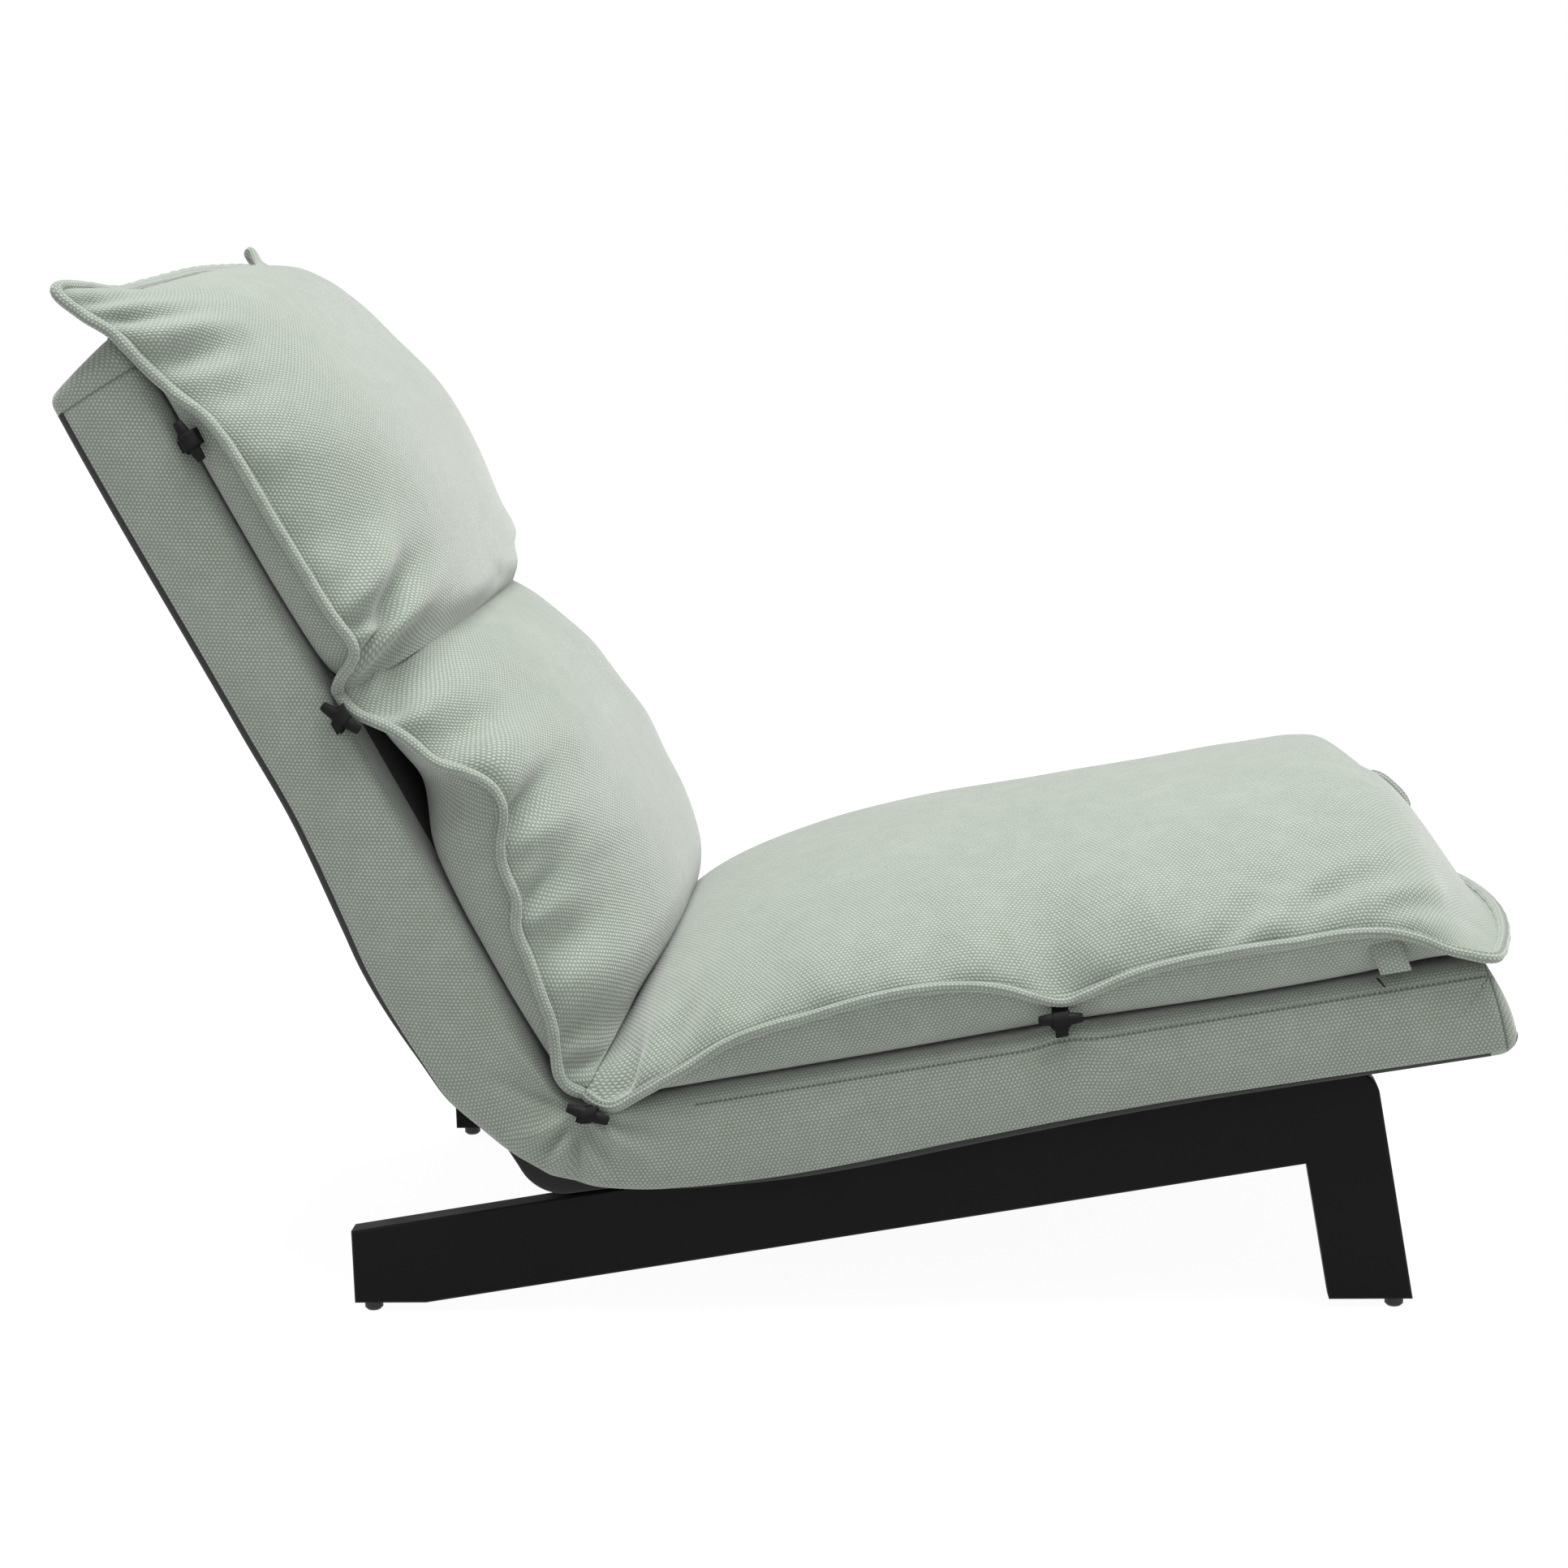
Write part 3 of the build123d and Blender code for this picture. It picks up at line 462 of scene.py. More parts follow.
def ribbon(work, line, thickness, place, u, finish=0):
    """A band of cloth along a line of points: y, w, how far it stands from u along the shell, and width."""
    before = set(work.faces)
    line = np.array(line, float)
    length = running_length(line[:, :2])
    fine = smoothed(along_line(line, length, np.linspace(0, length[-1], BAND_ROWS)), 2)
    across = np.linspace(-0.5, 0.5, BAND_COLUMNS)
    u_grid = u + fine[:, 2][:, None] + across[None, :] * fine[:, 3][:, None]
    points = place(u_grid, fine[:, 0][:, None], fine[:, 1][:, None])
    faces = lay_skin(work, points, surface_lengths(points))
    bmesh.ops.recalc_face_normals(work, faces=faces)
    bmesh.ops.solidify(work, geom=faces, thickness=thickness * 0.001)
    for face in set(work.faces) - before:
        face.material_index = finish


# Padded shell: stations run from the front of the seat, round the bend, to the top of the back.
# Each has a point on the outer edge of the green band and one on the inner edge, in the side view.
OUTER_RADIUS = 170.0
INNER_RADIUS = 34.0
BEND_START = 150.0
SEAT_ROWS = 110
BEND_ROWS = 110
BACK_ROWS = 74
ARC_STEPS = 40
# Rounded edges and ends, and the marks round the shell's section
EDGE = 14.0
EDGE_STEPS = 7
FLAT_MARKS = 46
SIDE_MARKS = 18
SIDE_FADE = 10.0
# Seams: where the green ends behind, the seams of both ends, the margin in front and the row of topstitches
HEM_MARK = 33.7
TOP_SEAM = 23.0
FRONT_SEAM = 8.0
MARGIN = 45.0
TOPSTITCH = 29.0
STITCH_START = 125.0
NO_STITCH = 60.0
# How the ends stand: the front's upper edge stands back, and the top's edge stands up
FRONT_SET_BACK = 8.0
FRONT_TOE = 6.0
FRONT_FADE = 16.0
TOP_STAND = 10.0
TOP_HEEL = 5.0
TOP_FADE = 18.0
# How the seat toggle pulls the upper edge up, from which distance off the middle, and where the band sags
SEAT_TOGGLE_AT = 428.0
TOGGLE_PULL = 5.0
PULL_REACH = 20.0
PULL_FROM = 262.0
PULL_FADE = 20.0
SAG_FROM = 258.0
SAG_FADE = 12.0
# Fullness of the sides, slackness of their cloth, and how far round a pull fold still counts
PILLOWING = 2.5
SLACK = 0.55
WIDEST_SWING = 1.2
# Where the green band ends towards the rear, measured from the middle of the shell
hem_line = [
    (-771, 33.7), (-200, 33.7), (-120, 36.0), (-60, 38.2), (60, 38.0), (120, 36.0), (180, 34.0),
    (260, 32.0), (330, 31.2), (420, 31.0), (724, 31.0),
]
# How far the band hangs beyond the flat shell: place along the shell, seat negative, and distance
band_sag = [
    (-771, 0), (-440, 0), (-342, 4), (-250, 8), (-184, 8), (-125, 4), (-90, 0), (0, 0), (60, 1),
    (90, 7), (120, 10), (150, 13), (180, 14.5), (210, 14), (240, 11), (270, 8), (300, 5), (330, 2.5),
    (420, 2), (690, 1), (724, 0),
]


def seat_points(u, w):
    """Side view points of the seat, in millimetres."""
    return seat_side(u, 0.0, w)[..., [0, 2]] * 1000


def back_points(u, w):
    """Side view points of the back, in millimetres."""
    return back_side(u, 0.0, w)[..., [0, 2]] * 1000


def round_bend(w, radius):
    """Points of the bend at one height of the shell: from the seat round an arc to the back."""
    corner_u = w / math.tan(FOLD / 2)
    corner = seat_points(corner_u, w)
    first = seat_points(BEND_START, w)
    last = back_points(BEND_START, w)
    reach = radius / math.tan(FOLD / 2)
    start = corner + (first - corner) * reach / np.linalg.norm(first - corner)
    end = corner + (last - corner) * reach / np.linalg.norm(last - corner)
    middle = (start + end) / 2 - corner
    centre = corner + middle * radius / math.sin(FOLD / 2) / np.linalg.norm(middle)
    sweep = math.pi - FOLD
    arc = []
    for step in np.linspace(0, 1, ARC_STEPS):
        near = math.sin((1 - step) * sweep) / math.sin(sweep)
        far = math.sin(step * sweep) / math.sin(sweep)
        arc.append(centre + (start - centre) * near + (end - centre) * far)
    line = np.vstack([[first], arc, [last]])
    length = running_length(line)
    return along_line(line, length, np.linspace(0, length[-1], BEND_ROWS))


seat_u = np.linspace(SEAT_LENGTH - EDGE, BEND_START, SEAT_ROWS)
back_u = np.linspace(BEND_START, BACK_LENGTH - EDGE, BACK_ROWS)
bend_outer = round_bend(-HALF_THICK, OUTER_RADIUS)
bend_inner = round_bend(HALF_THICK, INNER_RADIUS)
bend_u = np.linspace(-BEND_START, BEND_START, BEND_ROWS)[1:-1]
outer_line = np.vstack([seat_points(seat_u, -HALF_THICK), bend_outer[1:-1], back_points(back_u, -HALF_THICK)])
inner_line = np.vstack([seat_points(seat_u, HALF_THICK), bend_inner[1:-1], back_points(back_u, HALF_THICK)])
station_u = np.concatenate([-seat_u, bend_u, back_u])
draw_in = np.zeros(len(station_u))
# The rounded ends of the shell
for angle in np.linspace(0, math.pi / 2, EDGE_STEPS + 1)[1:]:
    shrink = EDGE * (1 - math.cos(angle))
    reach = EDGE * math.sin(angle)
    depth = HALF_THICK - shrink
    seat_end = SEAT_LENGTH - EDGE + reach
    back_end = BACK_LENGTH - EDGE + reach
    outer_line = np.vstack([[seat_points(seat_end, -depth)], outer_line, [back_points(back_end, -depth)]])
    inner_line = np.vstack([[seat_points(seat_end, depth)], inner_line, [back_points(back_end, depth)]])
    station_u = np.concatenate([[-seat_end], station_u, [back_end]])
    draw_in = np.concatenate([[shrink], draw_in, [shrink]])


def quarter(y_sign, w_sign, from_side):
    """Marks of one rounded corner of the shell's section, from the side or to the side."""
    marks = []
    for angle in np.linspace(0, math.pi / 2, EDGE_STEPS + 1)[:-1]:
        out, off = (math.cos(angle), math.sin(angle)) if from_side else (math.sin(angle), math.cos(angle))
        marks.append((y_sign * (HALF_WIDTH - EDGE + EDGE * out), w_sign * (HALF_THICK - EDGE + EDGE * off)))
    return marks


flat_y = HALF_WIDTH - EDGE
side_w = HALF_THICK - EDGE
section = [(y, -HALF_THICK) for y in np.linspace(-flat_y, flat_y, FLAT_MARKS + 1)[:-1]]
section += quarter(1, -1, False)
section += [(HALF_WIDTH, w) for w in np.linspace(-side_w, side_w, SIDE_MARKS + 1)[:-1]]
section += quarter(1, 1, True)
section += [(y, HALF_THICK) for y in np.linspace(flat_y, -flat_y, FLAT_MARKS + 1)[:-1]]
section += quarter(-1, 1, False)
section += [(-HALF_WIDTH, w) for w in np.linspace(side_w, -side_w, SIDE_MARKS + 1)[:-1]]
section += quarter(-1, -1, True)
section = np.array(section + section[:1])
section_y = section[:, 0]
section_w = section[:, 1]
side_sign = np.sign(section_y)
# The marks of the rear corners slide round so that one of them follows the hem
in_corner = (np.abs(section_y) > flat_y) & (section_w < -side_w)
mark_angle = np.arctan2(-side_w - section_w, np.abs(section_y) - flat_y)[None, :]
hem_angle = np.arcsin((curve(hem_line, 1, station_u) - side_w) / EDGE)[:, None]
hem_mark = math.asin((HEM_MARK - side_w) / EDGE)
quarter_turn = math.pi / 2
before_hem = mark_angle * hem_angle / hem_mark
after_hem = (quarter_turn - mark_angle) * (quarter_turn - hem_angle) / (quarter_turn - hem_mark)
after_hem = quarter_turn - after_hem
slid = np.where(mark_angle < hem_mark + 0.01, before_hem, after_hem)
shell_y = np.where(in_corner, side_sign * (flat_y + EDGE * np.cos(slid)), section_y)
shell_w = np.where(in_corner, -side_w - EDGE * np.sin(slid), section_w)
share = (shell_w + HALF_THICK) / (2 * HALF_THICK)
on_side = smooth_step((np.abs(section_y) - flat_y) / SIDE_FADE)
side_view = outer_line[:, None, :] * (1 - share)[..., None] + inner_line[:, None, :] * share[..., None]
outward_way = outer_line - inner_line
outward_way /= np.linalg.norm(outward_way, axis=1)[:, None]
hang = curve(band_sag, 1, station_u)[:, None] * (1 - share) ** 1.5
hang = hang * smooth_step((np.abs(section_y) - SAG_FROM) / SAG_FADE)
side_view = side_view + outward_way[:, None, :] * hang[..., None]
# The front's upper edge stands back, the top end stands up, and the seat toggle pulls the upper edge up
front_gap = SEAT_LENGTH + station_u
set_back = FRONT_SET_BACK * share ** 3 - FRONT_TOE * (1 - share)
set_back = set_back * np.exp(-np.clip(front_gap, 0, None) / FRONT_FADE)[:, None]
seat_way = np.array([math.cos(SEAT_SLOPE), math.sin(SEAT_SLOPE)])
side_view = side_view - seat_way[None, None, :] * set_back[..., None]
top_gap = BACK_LENGTH - station_u
stand_up = TOP_STAND * share ** 1.5 - TOP_HEEL * (1 - share) ** 3
stand_up = stand_up * np.exp(-np.clip(top_gap, 0, None) / TOP_FADE)[:, None]
back_way = np.array([-math.sin(BACK_LEAN), math.cos(BACK_LEAN)])
side_view = side_view + back_way[None, None, :] * stand_up[..., None]
near_edge = share ** 4 * smooth_step((np.abs(section_y) - PULL_FROM) / PULL_FADE)
pulled = TOGGLE_PULL * np.exp(-((station_u + SEAT_TOGGLE_AT) / PULL_REACH) ** 2)[:, None] * near_edge
side_view = side_view - outward_way[:, None, :] * pulled[..., None]
pillowed = PILLOWING * (1 - np.clip(section_w / side_w, -1, 1) ** 2)
across = shell_y + side_sign * on_side * (pillowed[None, :] - draw_in[:, None])


def pull_folds(start, folds):
    """Heights of folds that spread over the side of the shell from a point of the side view."""
    way = side_view - start[None, None, :]
    reach = np.linalg.norm(way, axis=2)
    angle = np.arctan2(way[..., 1], way[..., 0])
    total = np.zeros_like(reach)
    for direction, far, wide, high in folds:
        swing = angle - math.radians(direction)
        swing = np.arctan2(np.sin(swing), np.cos(swing))
        aside = reach * np.sin(np.clip(swing, -WIDEST_SWING, WIDEST_SWING))
        strength = np.exp(-((reach - far * 0.5) / (far * 0.5)) ** 2) * (np.abs(swing) < WIDEST_SWING)
        total += high * strength * np.exp(-(aside / (wide * (0.6 + 0.6 * reach / far))) ** 2)
    return total


# Folds that spread from the crease toggle and the seat toggle: direction, length, width and height
crease_folds = [
    (-118, 60, 6.0, 6.5), (-136, 52, 5.5, -6.0), (-98, 62, 6.0, -6.5), (-80, 56, 6.0, 5.5),
    (-60, 60, 7.0, -4.5), (-36, 70, 8.0, 3.6), (-14, 90, 7.0, -3.0), (-158, 58, 7.0, 5.0),
    (156, 78, 7.0, -5.0), (134, 92, 7.0, 4.4), (118, 110, 8.0, -3.4),
]
seat_folds = [
    (-150, 60, 7.0, 2.2), (-120, 46, 6.0, -2.0), (-85, 50, 6.0, 1.6), (-50, 50, 6.0, -2.2),
    (-22, 60, 6.0, 2.0),
]
crease_pull = seat_points(38.0, 36.0)
seat_pull = seat_points(SEAT_TOGGLE_AT, 42.0)
gathers = pull_folds(crease_pull, crease_folds)
gathers += pull_folds(seat_pull, seat_folds)
across = across + side_sign * on_side * gathers
# Slight slackness of the cloth all along the band
slack = np.sin(station_u * 0.031 + 0.7) + 0.7 * np.sin(station_u * 0.057 + 2.1)
across = across + side_sign * on_side * (slack * SLACK)[:, None] * (1 - (2 * share - 1) ** 2)
shell_points = np.stack([side_view[..., 0], across, side_view[..., 1]], axis=-1) * 0.001

shell_steps = np.linalg.norm(np.diff((outer_line + inner_line) / 2, axis=0), axis=1) * 0.001
rim_steps = np.linalg.norm(np.diff(shell_points[:, 0], axis=0), axis=1)
from_end = np.minimum(np.arange(len(rim_steps)), len(rim_steps) - 1 - np.arange(len(rim_steps)))
on_rim = from_end < EDGE_STEPS
along_shell = np.concatenate([[0], np.cumsum(np.where(on_rim, rim_steps, shell_steps))])
around_shell = surface_lengths(shell_points)[..., 1]
shell_uv = np.stack([np.broadcast_to(along_shell[:, None], around_shell.shape), around_shell], axis=-1)
shell_run = np.broadcast_to(along_shell[:, None], around_shell.shape)
seam_at_side = np.where((on_side > 0.25) & (section_w > 0), section_w - TOPSTITCH, NO_STITCH)
seam_at_side = np.where((station_u < -STITCH_START)[:, None], seam_at_side[None, :], NO_STITCH)
end_gap = np.where(station_u < 0, SEAT_LENGTH + station_u, BACK_LENGTH - station_u)
cap_at = np.where(station_u < 0, FRONT_SEAM, TOP_SEAM)
from_cap = np.where(on_side[None, :] > 0.25, (end_gap - cap_at)[:, None], NO_STITCH)
shell_stitch = np.where(np.abs(from_cap) < np.abs(seam_at_side), from_cap, seam_at_side) * 0.001


def shell_material(row, column):
    """Black cloth behind and below, and in front inside the green margin; green elsewhere."""
    y = max(abs(section_y[column]), abs(section_y[column + 1]))
    w = max(section_w[column], section_w[column + 1])
    gap = max(end_gap[row], end_gap[row + 1])
    if w < 0.1 - HEM_MARK and gap > TOP_SEAM:
        return 1
    low = min(section_w[column], section_w[column + 1])
    if low > HALF_THICK - 0.1 and y < HALF_WIDTH - MARGIN and gap > MARGIN:
        return 1
    return 0


shell = new_work()
lay_skin(shell, shell_points, shell_uv, shell_stitch, shell_run, shell_material)
cap_rings = np.array([1.0, 0.6, 0.25, 0.0])
for ring, long_axis in ((shell_points[0], 2), (shell_points[-1], 0)):
    middle = ring[:-1].mean(axis=0)
    cap_points = middle + (ring - middle)[None, :, :] * cap_rings[:, None, None]
    lay_skin(shell, cap_points, cap_points[..., [long_axis, 1]])
shell_cover = finish_piece("shell_cover", shell, [weave, nonwoven])
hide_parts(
    "seat_cover", "back_cover", "bend_cover", "seat_top_cloth", "seat_underside_cloth",
    "back_front_cloth", "back_rear_cloth", "seat_pad_top", "seat_pad_bottom", "back_pad_front",
    "back_pad_rear", "bend_foam",
)
blend_start = tuple(seat_side(BEND_START, 0.0, 0.0))
blend_end = tuple(back_side(BEND_START, 0.0, 0.0))
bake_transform(shell_cover, "base", "backrest", start=blend_start, end=blend_end)

# The black belly under the bend, round the hinges: straight under the seat, round an arc and up the back
BELLY_HALF = 264.0
BELLY_EDGE = 12.0
BELLY_RADIUS = 37.6
BELLY_FORWARD = 9.5
BELLY_DOWN = 1.0
BELLY_END = 150.0
BELLY_GAP = 8.0
BELLY_ROUND = 0.34
BELLY_TUCK = 1.2
under_seat = np.linspace(BELLY_END, BELLY_FORWARD + BELLY_GAP, 16)
belly_low = [seat_points(u, -BELLY_DOWN - BELLY_RADIUS) for u in under_seat]
for angle in np.linspace(0, math.pi - FOLD, 20):
    way = -math.pi / 2 - angle
    forward_at = BELLY_FORWARD + math.cos(way) * BELLY_RADIUS
    belly_low.append(seat_points(forward_at, math.sin(way) * BELLY_RADIUS - BELLY_DOWN))
back_step = back_points(1, 0) - back_points(0, 0)
up_the_back = belly_low[-1] + back_step * np.linspace(BELLY_GAP, BELLY_END, 16)[:, None]
belly_low = np.vstack([belly_low, up_the_back])
low_length = running_length(belly_low)
high_length = running_length(bend_outer)
belly_high = along_line(bend_outer, high_length, low_length / low_length[-1] * high_length[-1])
half_marks = [(BELLY_HALF, BELLY_TUCK)]
for angle in np.linspace(math.pi / 2, 0, 6):
    edge_y = BELLY_HALF - BELLY_EDGE + BELLY_EDGE * math.sin(angle)
    half_marks.append((edge_y, BELLY_ROUND * (1 - math.cos(angle))))
half_marks += [(y, 0.0) for y in np.linspace(BELLY_HALF - BELLY_EDGE, 0, 17)[1:]]
belly_marks = np.array([(-y, rise) for y, rise in half_marks] + half_marks[-2::-1])
rise = belly_marks[:, 1]
belly_view = belly_low[:, None, :] * (1 - rise)[None, :, None] + belly_high[:, None, :] * rise[None, :, None]
belly_y = np.broadcast_to(belly_marks[:, 0][None, :], belly_view.shape[:2])
belly_points = np.stack([belly_view[..., 0], belly_y, belly_view[..., 1]], axis=-1) * 0.001
belly = new_work()
lay_skin(belly, belly_points, surface_lengths(belly_points))
bend_belly = finish_piece("bend_belly", belly, [nonwoven])
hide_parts("bend_cloth")
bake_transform(bend_belly, "base", "backrest", start=blend_start, end=blend_end)

# Topper cushions. Near and far seams: place along the shell, distance from the middle, height.
# Crown: place and height in the middle. Heights are measured from the middle of the shell.
SHELF = HALF_THICK + 1.4
seat_near = [
    (44, 286, 53), (52, 289, 43), (61, 292, 38), (75, 294, 41), (91, 296, 48), (131, 300, 62),
    (162, 301, 75), (196, 302, 82), (233, 302, 86), (272, 303, 91), (309, 303, 93), (346, 302, 91),
    (372, 300, 87), (398, 297, 78), (420, 294, 67), (432, 293, 63), (452, 295, 68), (483, 298, 76),
    (526, 301, 81), (569, 302, 82), (620, 302, 81), (662, 302, 81), (695, 302, 77), (714, 302, 70),
    (730, 302, 60), (748, 303, 52), (770, 304, 44),
]
seat_far = [
    (44, 286, 53), (62, 292, 42), (100, 297, 52), (150, 301, 72), (210, 302, 84), (290, 303, 91),
    (350, 302, 88), (405, 297, 74), (432, 294, 66), (465, 297, 72), (540, 301, 80), (610, 302, 83),
    (670, 302, 78), (715, 302, 72), (746, 303, 80), (760, 304, 62), (770, 304, 44),
]
seat_crown = [
    (44, 100), (70, 118), (110, 135), (160, 151), (230, 165), (320, 174), (430, 177), (560, 175),
    (640, 174), (680, 174), (706, 165), (726, 141), (742, 106), (756, 69), (770, 42),
]
lumbar_near = [
    (44, 286, 58), (54, 291, 49), (76, 294, 54), (100, 298, 66), (124, 299, 70), (158, 299, 76),
    (186, 299, 81), (198, 301, 90), (220, 301, 92), (247, 302, 101), (270, 306, 118), (287, 306, 120),
    (308, 303, 108), (324, 299, 90), (350, 297, 80), (371, 295, 68), (386, 291, 53), (414, 283, 46),
]
lumbar_far = [
    (44, 286, 58), (60, 292, 50), (100, 298, 66), (150, 299, 80), (190, 302, 84), (230, 300, 96),
    (275, 304, 104), (310, 301, 98), (345, 298, 80), (385, 292, 56), (414, 283, 46),
]
lumbar_crown = [
    (44, 124), (66, 148), (96, 166), (140, 177), (200, 182), (250, 182), (300, 176), (340, 166),
    (372, 155), (398, 141), (414, 130),
]
head_near = [
    (406, 283, 46), (416, 288, 50), (423, 293, 68), (430, 296, 77), (445, 298, 77), (473, 299, 75),
    (510, 300, 74), (546, 300, 73), (586, 300, 73), (622, 299, 71), (646, 297, 66), (670, 295, 55),
    (702, 296, 45), (731, 298, 38), (756, 301, 24), (782, 304, 13),
]
head_far = [
    (406, 283, 46), (420, 290, 60), (432, 296, 75), (480, 300, 74), (560, 300, 73), (622, 299, 69),
    (665, 296, 56), (702, 297, 46), (731, 298, 38), (756, 301, 32), (782, 304, 28),
]
head_crown = [
    (406, 134), (418, 147), (436, 153), (475, 160), (530, 167), (590, 166), (650, 151), (700, 135),
    (735, 117), (760, 94), (774, 70), (782, 46),
]
# How the last end of seat and head bows along the shell, from the near side to the far side
front_bow = [
    (-1, -5), (-0.88, 5), (-0.56, 17), (-0.18, 10), (0.17, -13), (0.55, -29), (0.84, -30), (0.95, -12),
    (1, 6),
]
top_bow = [
    (-1, 2), (-0.9, -5), (-0.74, -16), (-0.5, -16), (0, -12), (0.5, -14), (0.8, -14), (0.93, -6),
    (0.97, 4), (1, 16),
]
# How squarely the lower face drops from the seam: place along the shell and power
seat_drop = [(44, 14), (90, 26), (400, 30), (660, 30), (720, 16), (770, 10)]
lumbar_drop = [(44, 14), (90, 26), (250, 22), (290, 7.5), (350, 5), (385, 9), (410, 22)]
head_drop = [(410, 22), (440, 30), (690, 30), (740, 16), (782, 10)]
# Folds of the faces: place along the shell, distance from the seam along the cloth, heading from the
# shell's length towards the middle, length, width and depth, where a depth below 0 is a ridge
seat_creases = [
    (429, 0, 94, 150, 20, 7.0), (466, 8, 72, 120, 17, -4.5), (394, 18, 102, 84, 10, 3.5),
    (560, 6, 48, 130, 13, 6.0), (592, 6, 54, 110, 15, -4.0), (640, 34, 22, 120, 12, 5.0),
    (698, 18, 34, 80, 9, 5.0), (715, 40, 60, 90, 12, -4.0), (250, 12, 84, 130, 26, -4.5),
    (330, 4, 80, 120, 20, 4.5), (182, 20, 72, 130, 22, 4.5), (508, 40, 92, 130, 26, -4.5),
    (66, 8, 60, 70, 14, 12.0), (86, 20, 66, 76, 11, -6.0), (112, 6, 66, 90, 12, 4.0),
    (740, 60, 88, 120, 10, 3.5),
]
lumbar_creases = [
    (258, 8, 78, 140, 15, 14.0), (300, 10, 66, 150, 17, -9.0), (196, 0, 86, 90, 10, 8.0),
    (178, 6, 92, 96, 14, -3.5), (374, 6, 62, 120, 11, 9.0), (358, 12, 80, 110, 13, -4.5),
    (394, 8, 42, 90, 7, 6.0), (90, 0, 112, 100, 12, 7.0), (68, 4, 130, 70, 8, 9.0),
    (122, 6, 96, 110, 17, -4.5), (150, 26, 90, 160, 22, 4.5), (232, 34, 92, 160, 20, -4.5),
    (330, 40, 84, 150, 16, 4.0),
]
head_creases = [
    (424, 4, 66, 120, 8, 14.0), (434, 8, 50, 120, 9, -9.0), (446, 14, 76, 150, 10, 12.0),
    (464, 20, 62, 130, 12, -7.0), (420, 44, 86, 170, 12, 6.0), (742, 4, 102, 150, 10, 7.0),
    (716, 10, 96, 170, 15, -5.0), (690, 16, 90, 180, 15, 6.0), (762, 0, 96, 130, 8, 5.0),
    (520, 20, 90, 170, 27, 4.0), (600, 10, 96, 170, 25, -4.5), (650, 20, 84, 150, 18, 5.0),
]
CREASE_ANGLE = math.radians(50.0)
# The folded edge, in millimetres, with its step, lap and closing ends in metres
PIPING_WIDTH = 5.4
PIPING_HEIGHT = 4.6
PIPING_REACH = 2.4
PIPING_STEP = 0.0055
END_LAP = 0.004
END_CLOSE = 0.004
STITCH_ANGLE = 285.0
# Swelling along the folded edge: share, length and start
ripples = [(0.08, 0.031, 0.0), (0.06, 0.0173, 1.3)]
# The cloth simulation
SETTLE_FRAMES = 20
SPARE_CLOTH = 0.10
SPARE_FADE = 70.0
FILLING_PRESSURE = 1.0
BROAD_WAVES = 60
MOST_MOVE = 0.012
# Folds that are pressed in: the rise beside a valley, and the length over which the seam holds them down
RIDGE_SHARE = 0.3
RIDGE_AT = 1.9
SEAM_HOLD = 0.012
# The grid and the section of a cushion: how fast waves, ends, lean and bow fade, and how square it is
CUSHION_ROWS = 96
CUSHION_COLUMNS = 81
SEAM_CALM = 6
WAVE_FADE = 42.0
END_FADE = 22.0
LEAN_FADE = 45.0
BOW_FADE = 70.0
CROWN_ROUNDNESS = 0.62
UNDER_ROUNDNESS = 0.8
END_SQUARENESS = 18
LEAST_DEPTH = 3.0


def calm(values, wide):
    """A line of numbers with its short waves taken out."""
    kernel = np.hanning(2 * wide + 1)
    kernel /= kernel.sum()
    longer = np.concatenate([np.full(wide, values[0]), values, np.full(wide, values[-1])])
    return np.convolve(longer, kernel, mode="valid")


def soften(grid, times):
    """A grid of vectors with its short waves taken out, held at its border."""
    for _ in range(times):
        grid = np.pad(grid, ((1, 1), (1, 1), (0, 0)), mode="edge")
        grid = (grid[:-2] + 2 * grid[1:-1] + grid[2:]) / 4
        grid = (grid[:, :-2] + 2 * grid[:, 1:-1] + grid[:, 2:]) / 4
    return grid


def up_from_seam(points):
    """The way from a cushion's near seam up to its crown, as the side view shows it."""
    row = points.shape[0] // 2
    column = points.shape[1] // 2
    return (points[row, column] - points[row, 0]) * np.array([1, 0, 1])


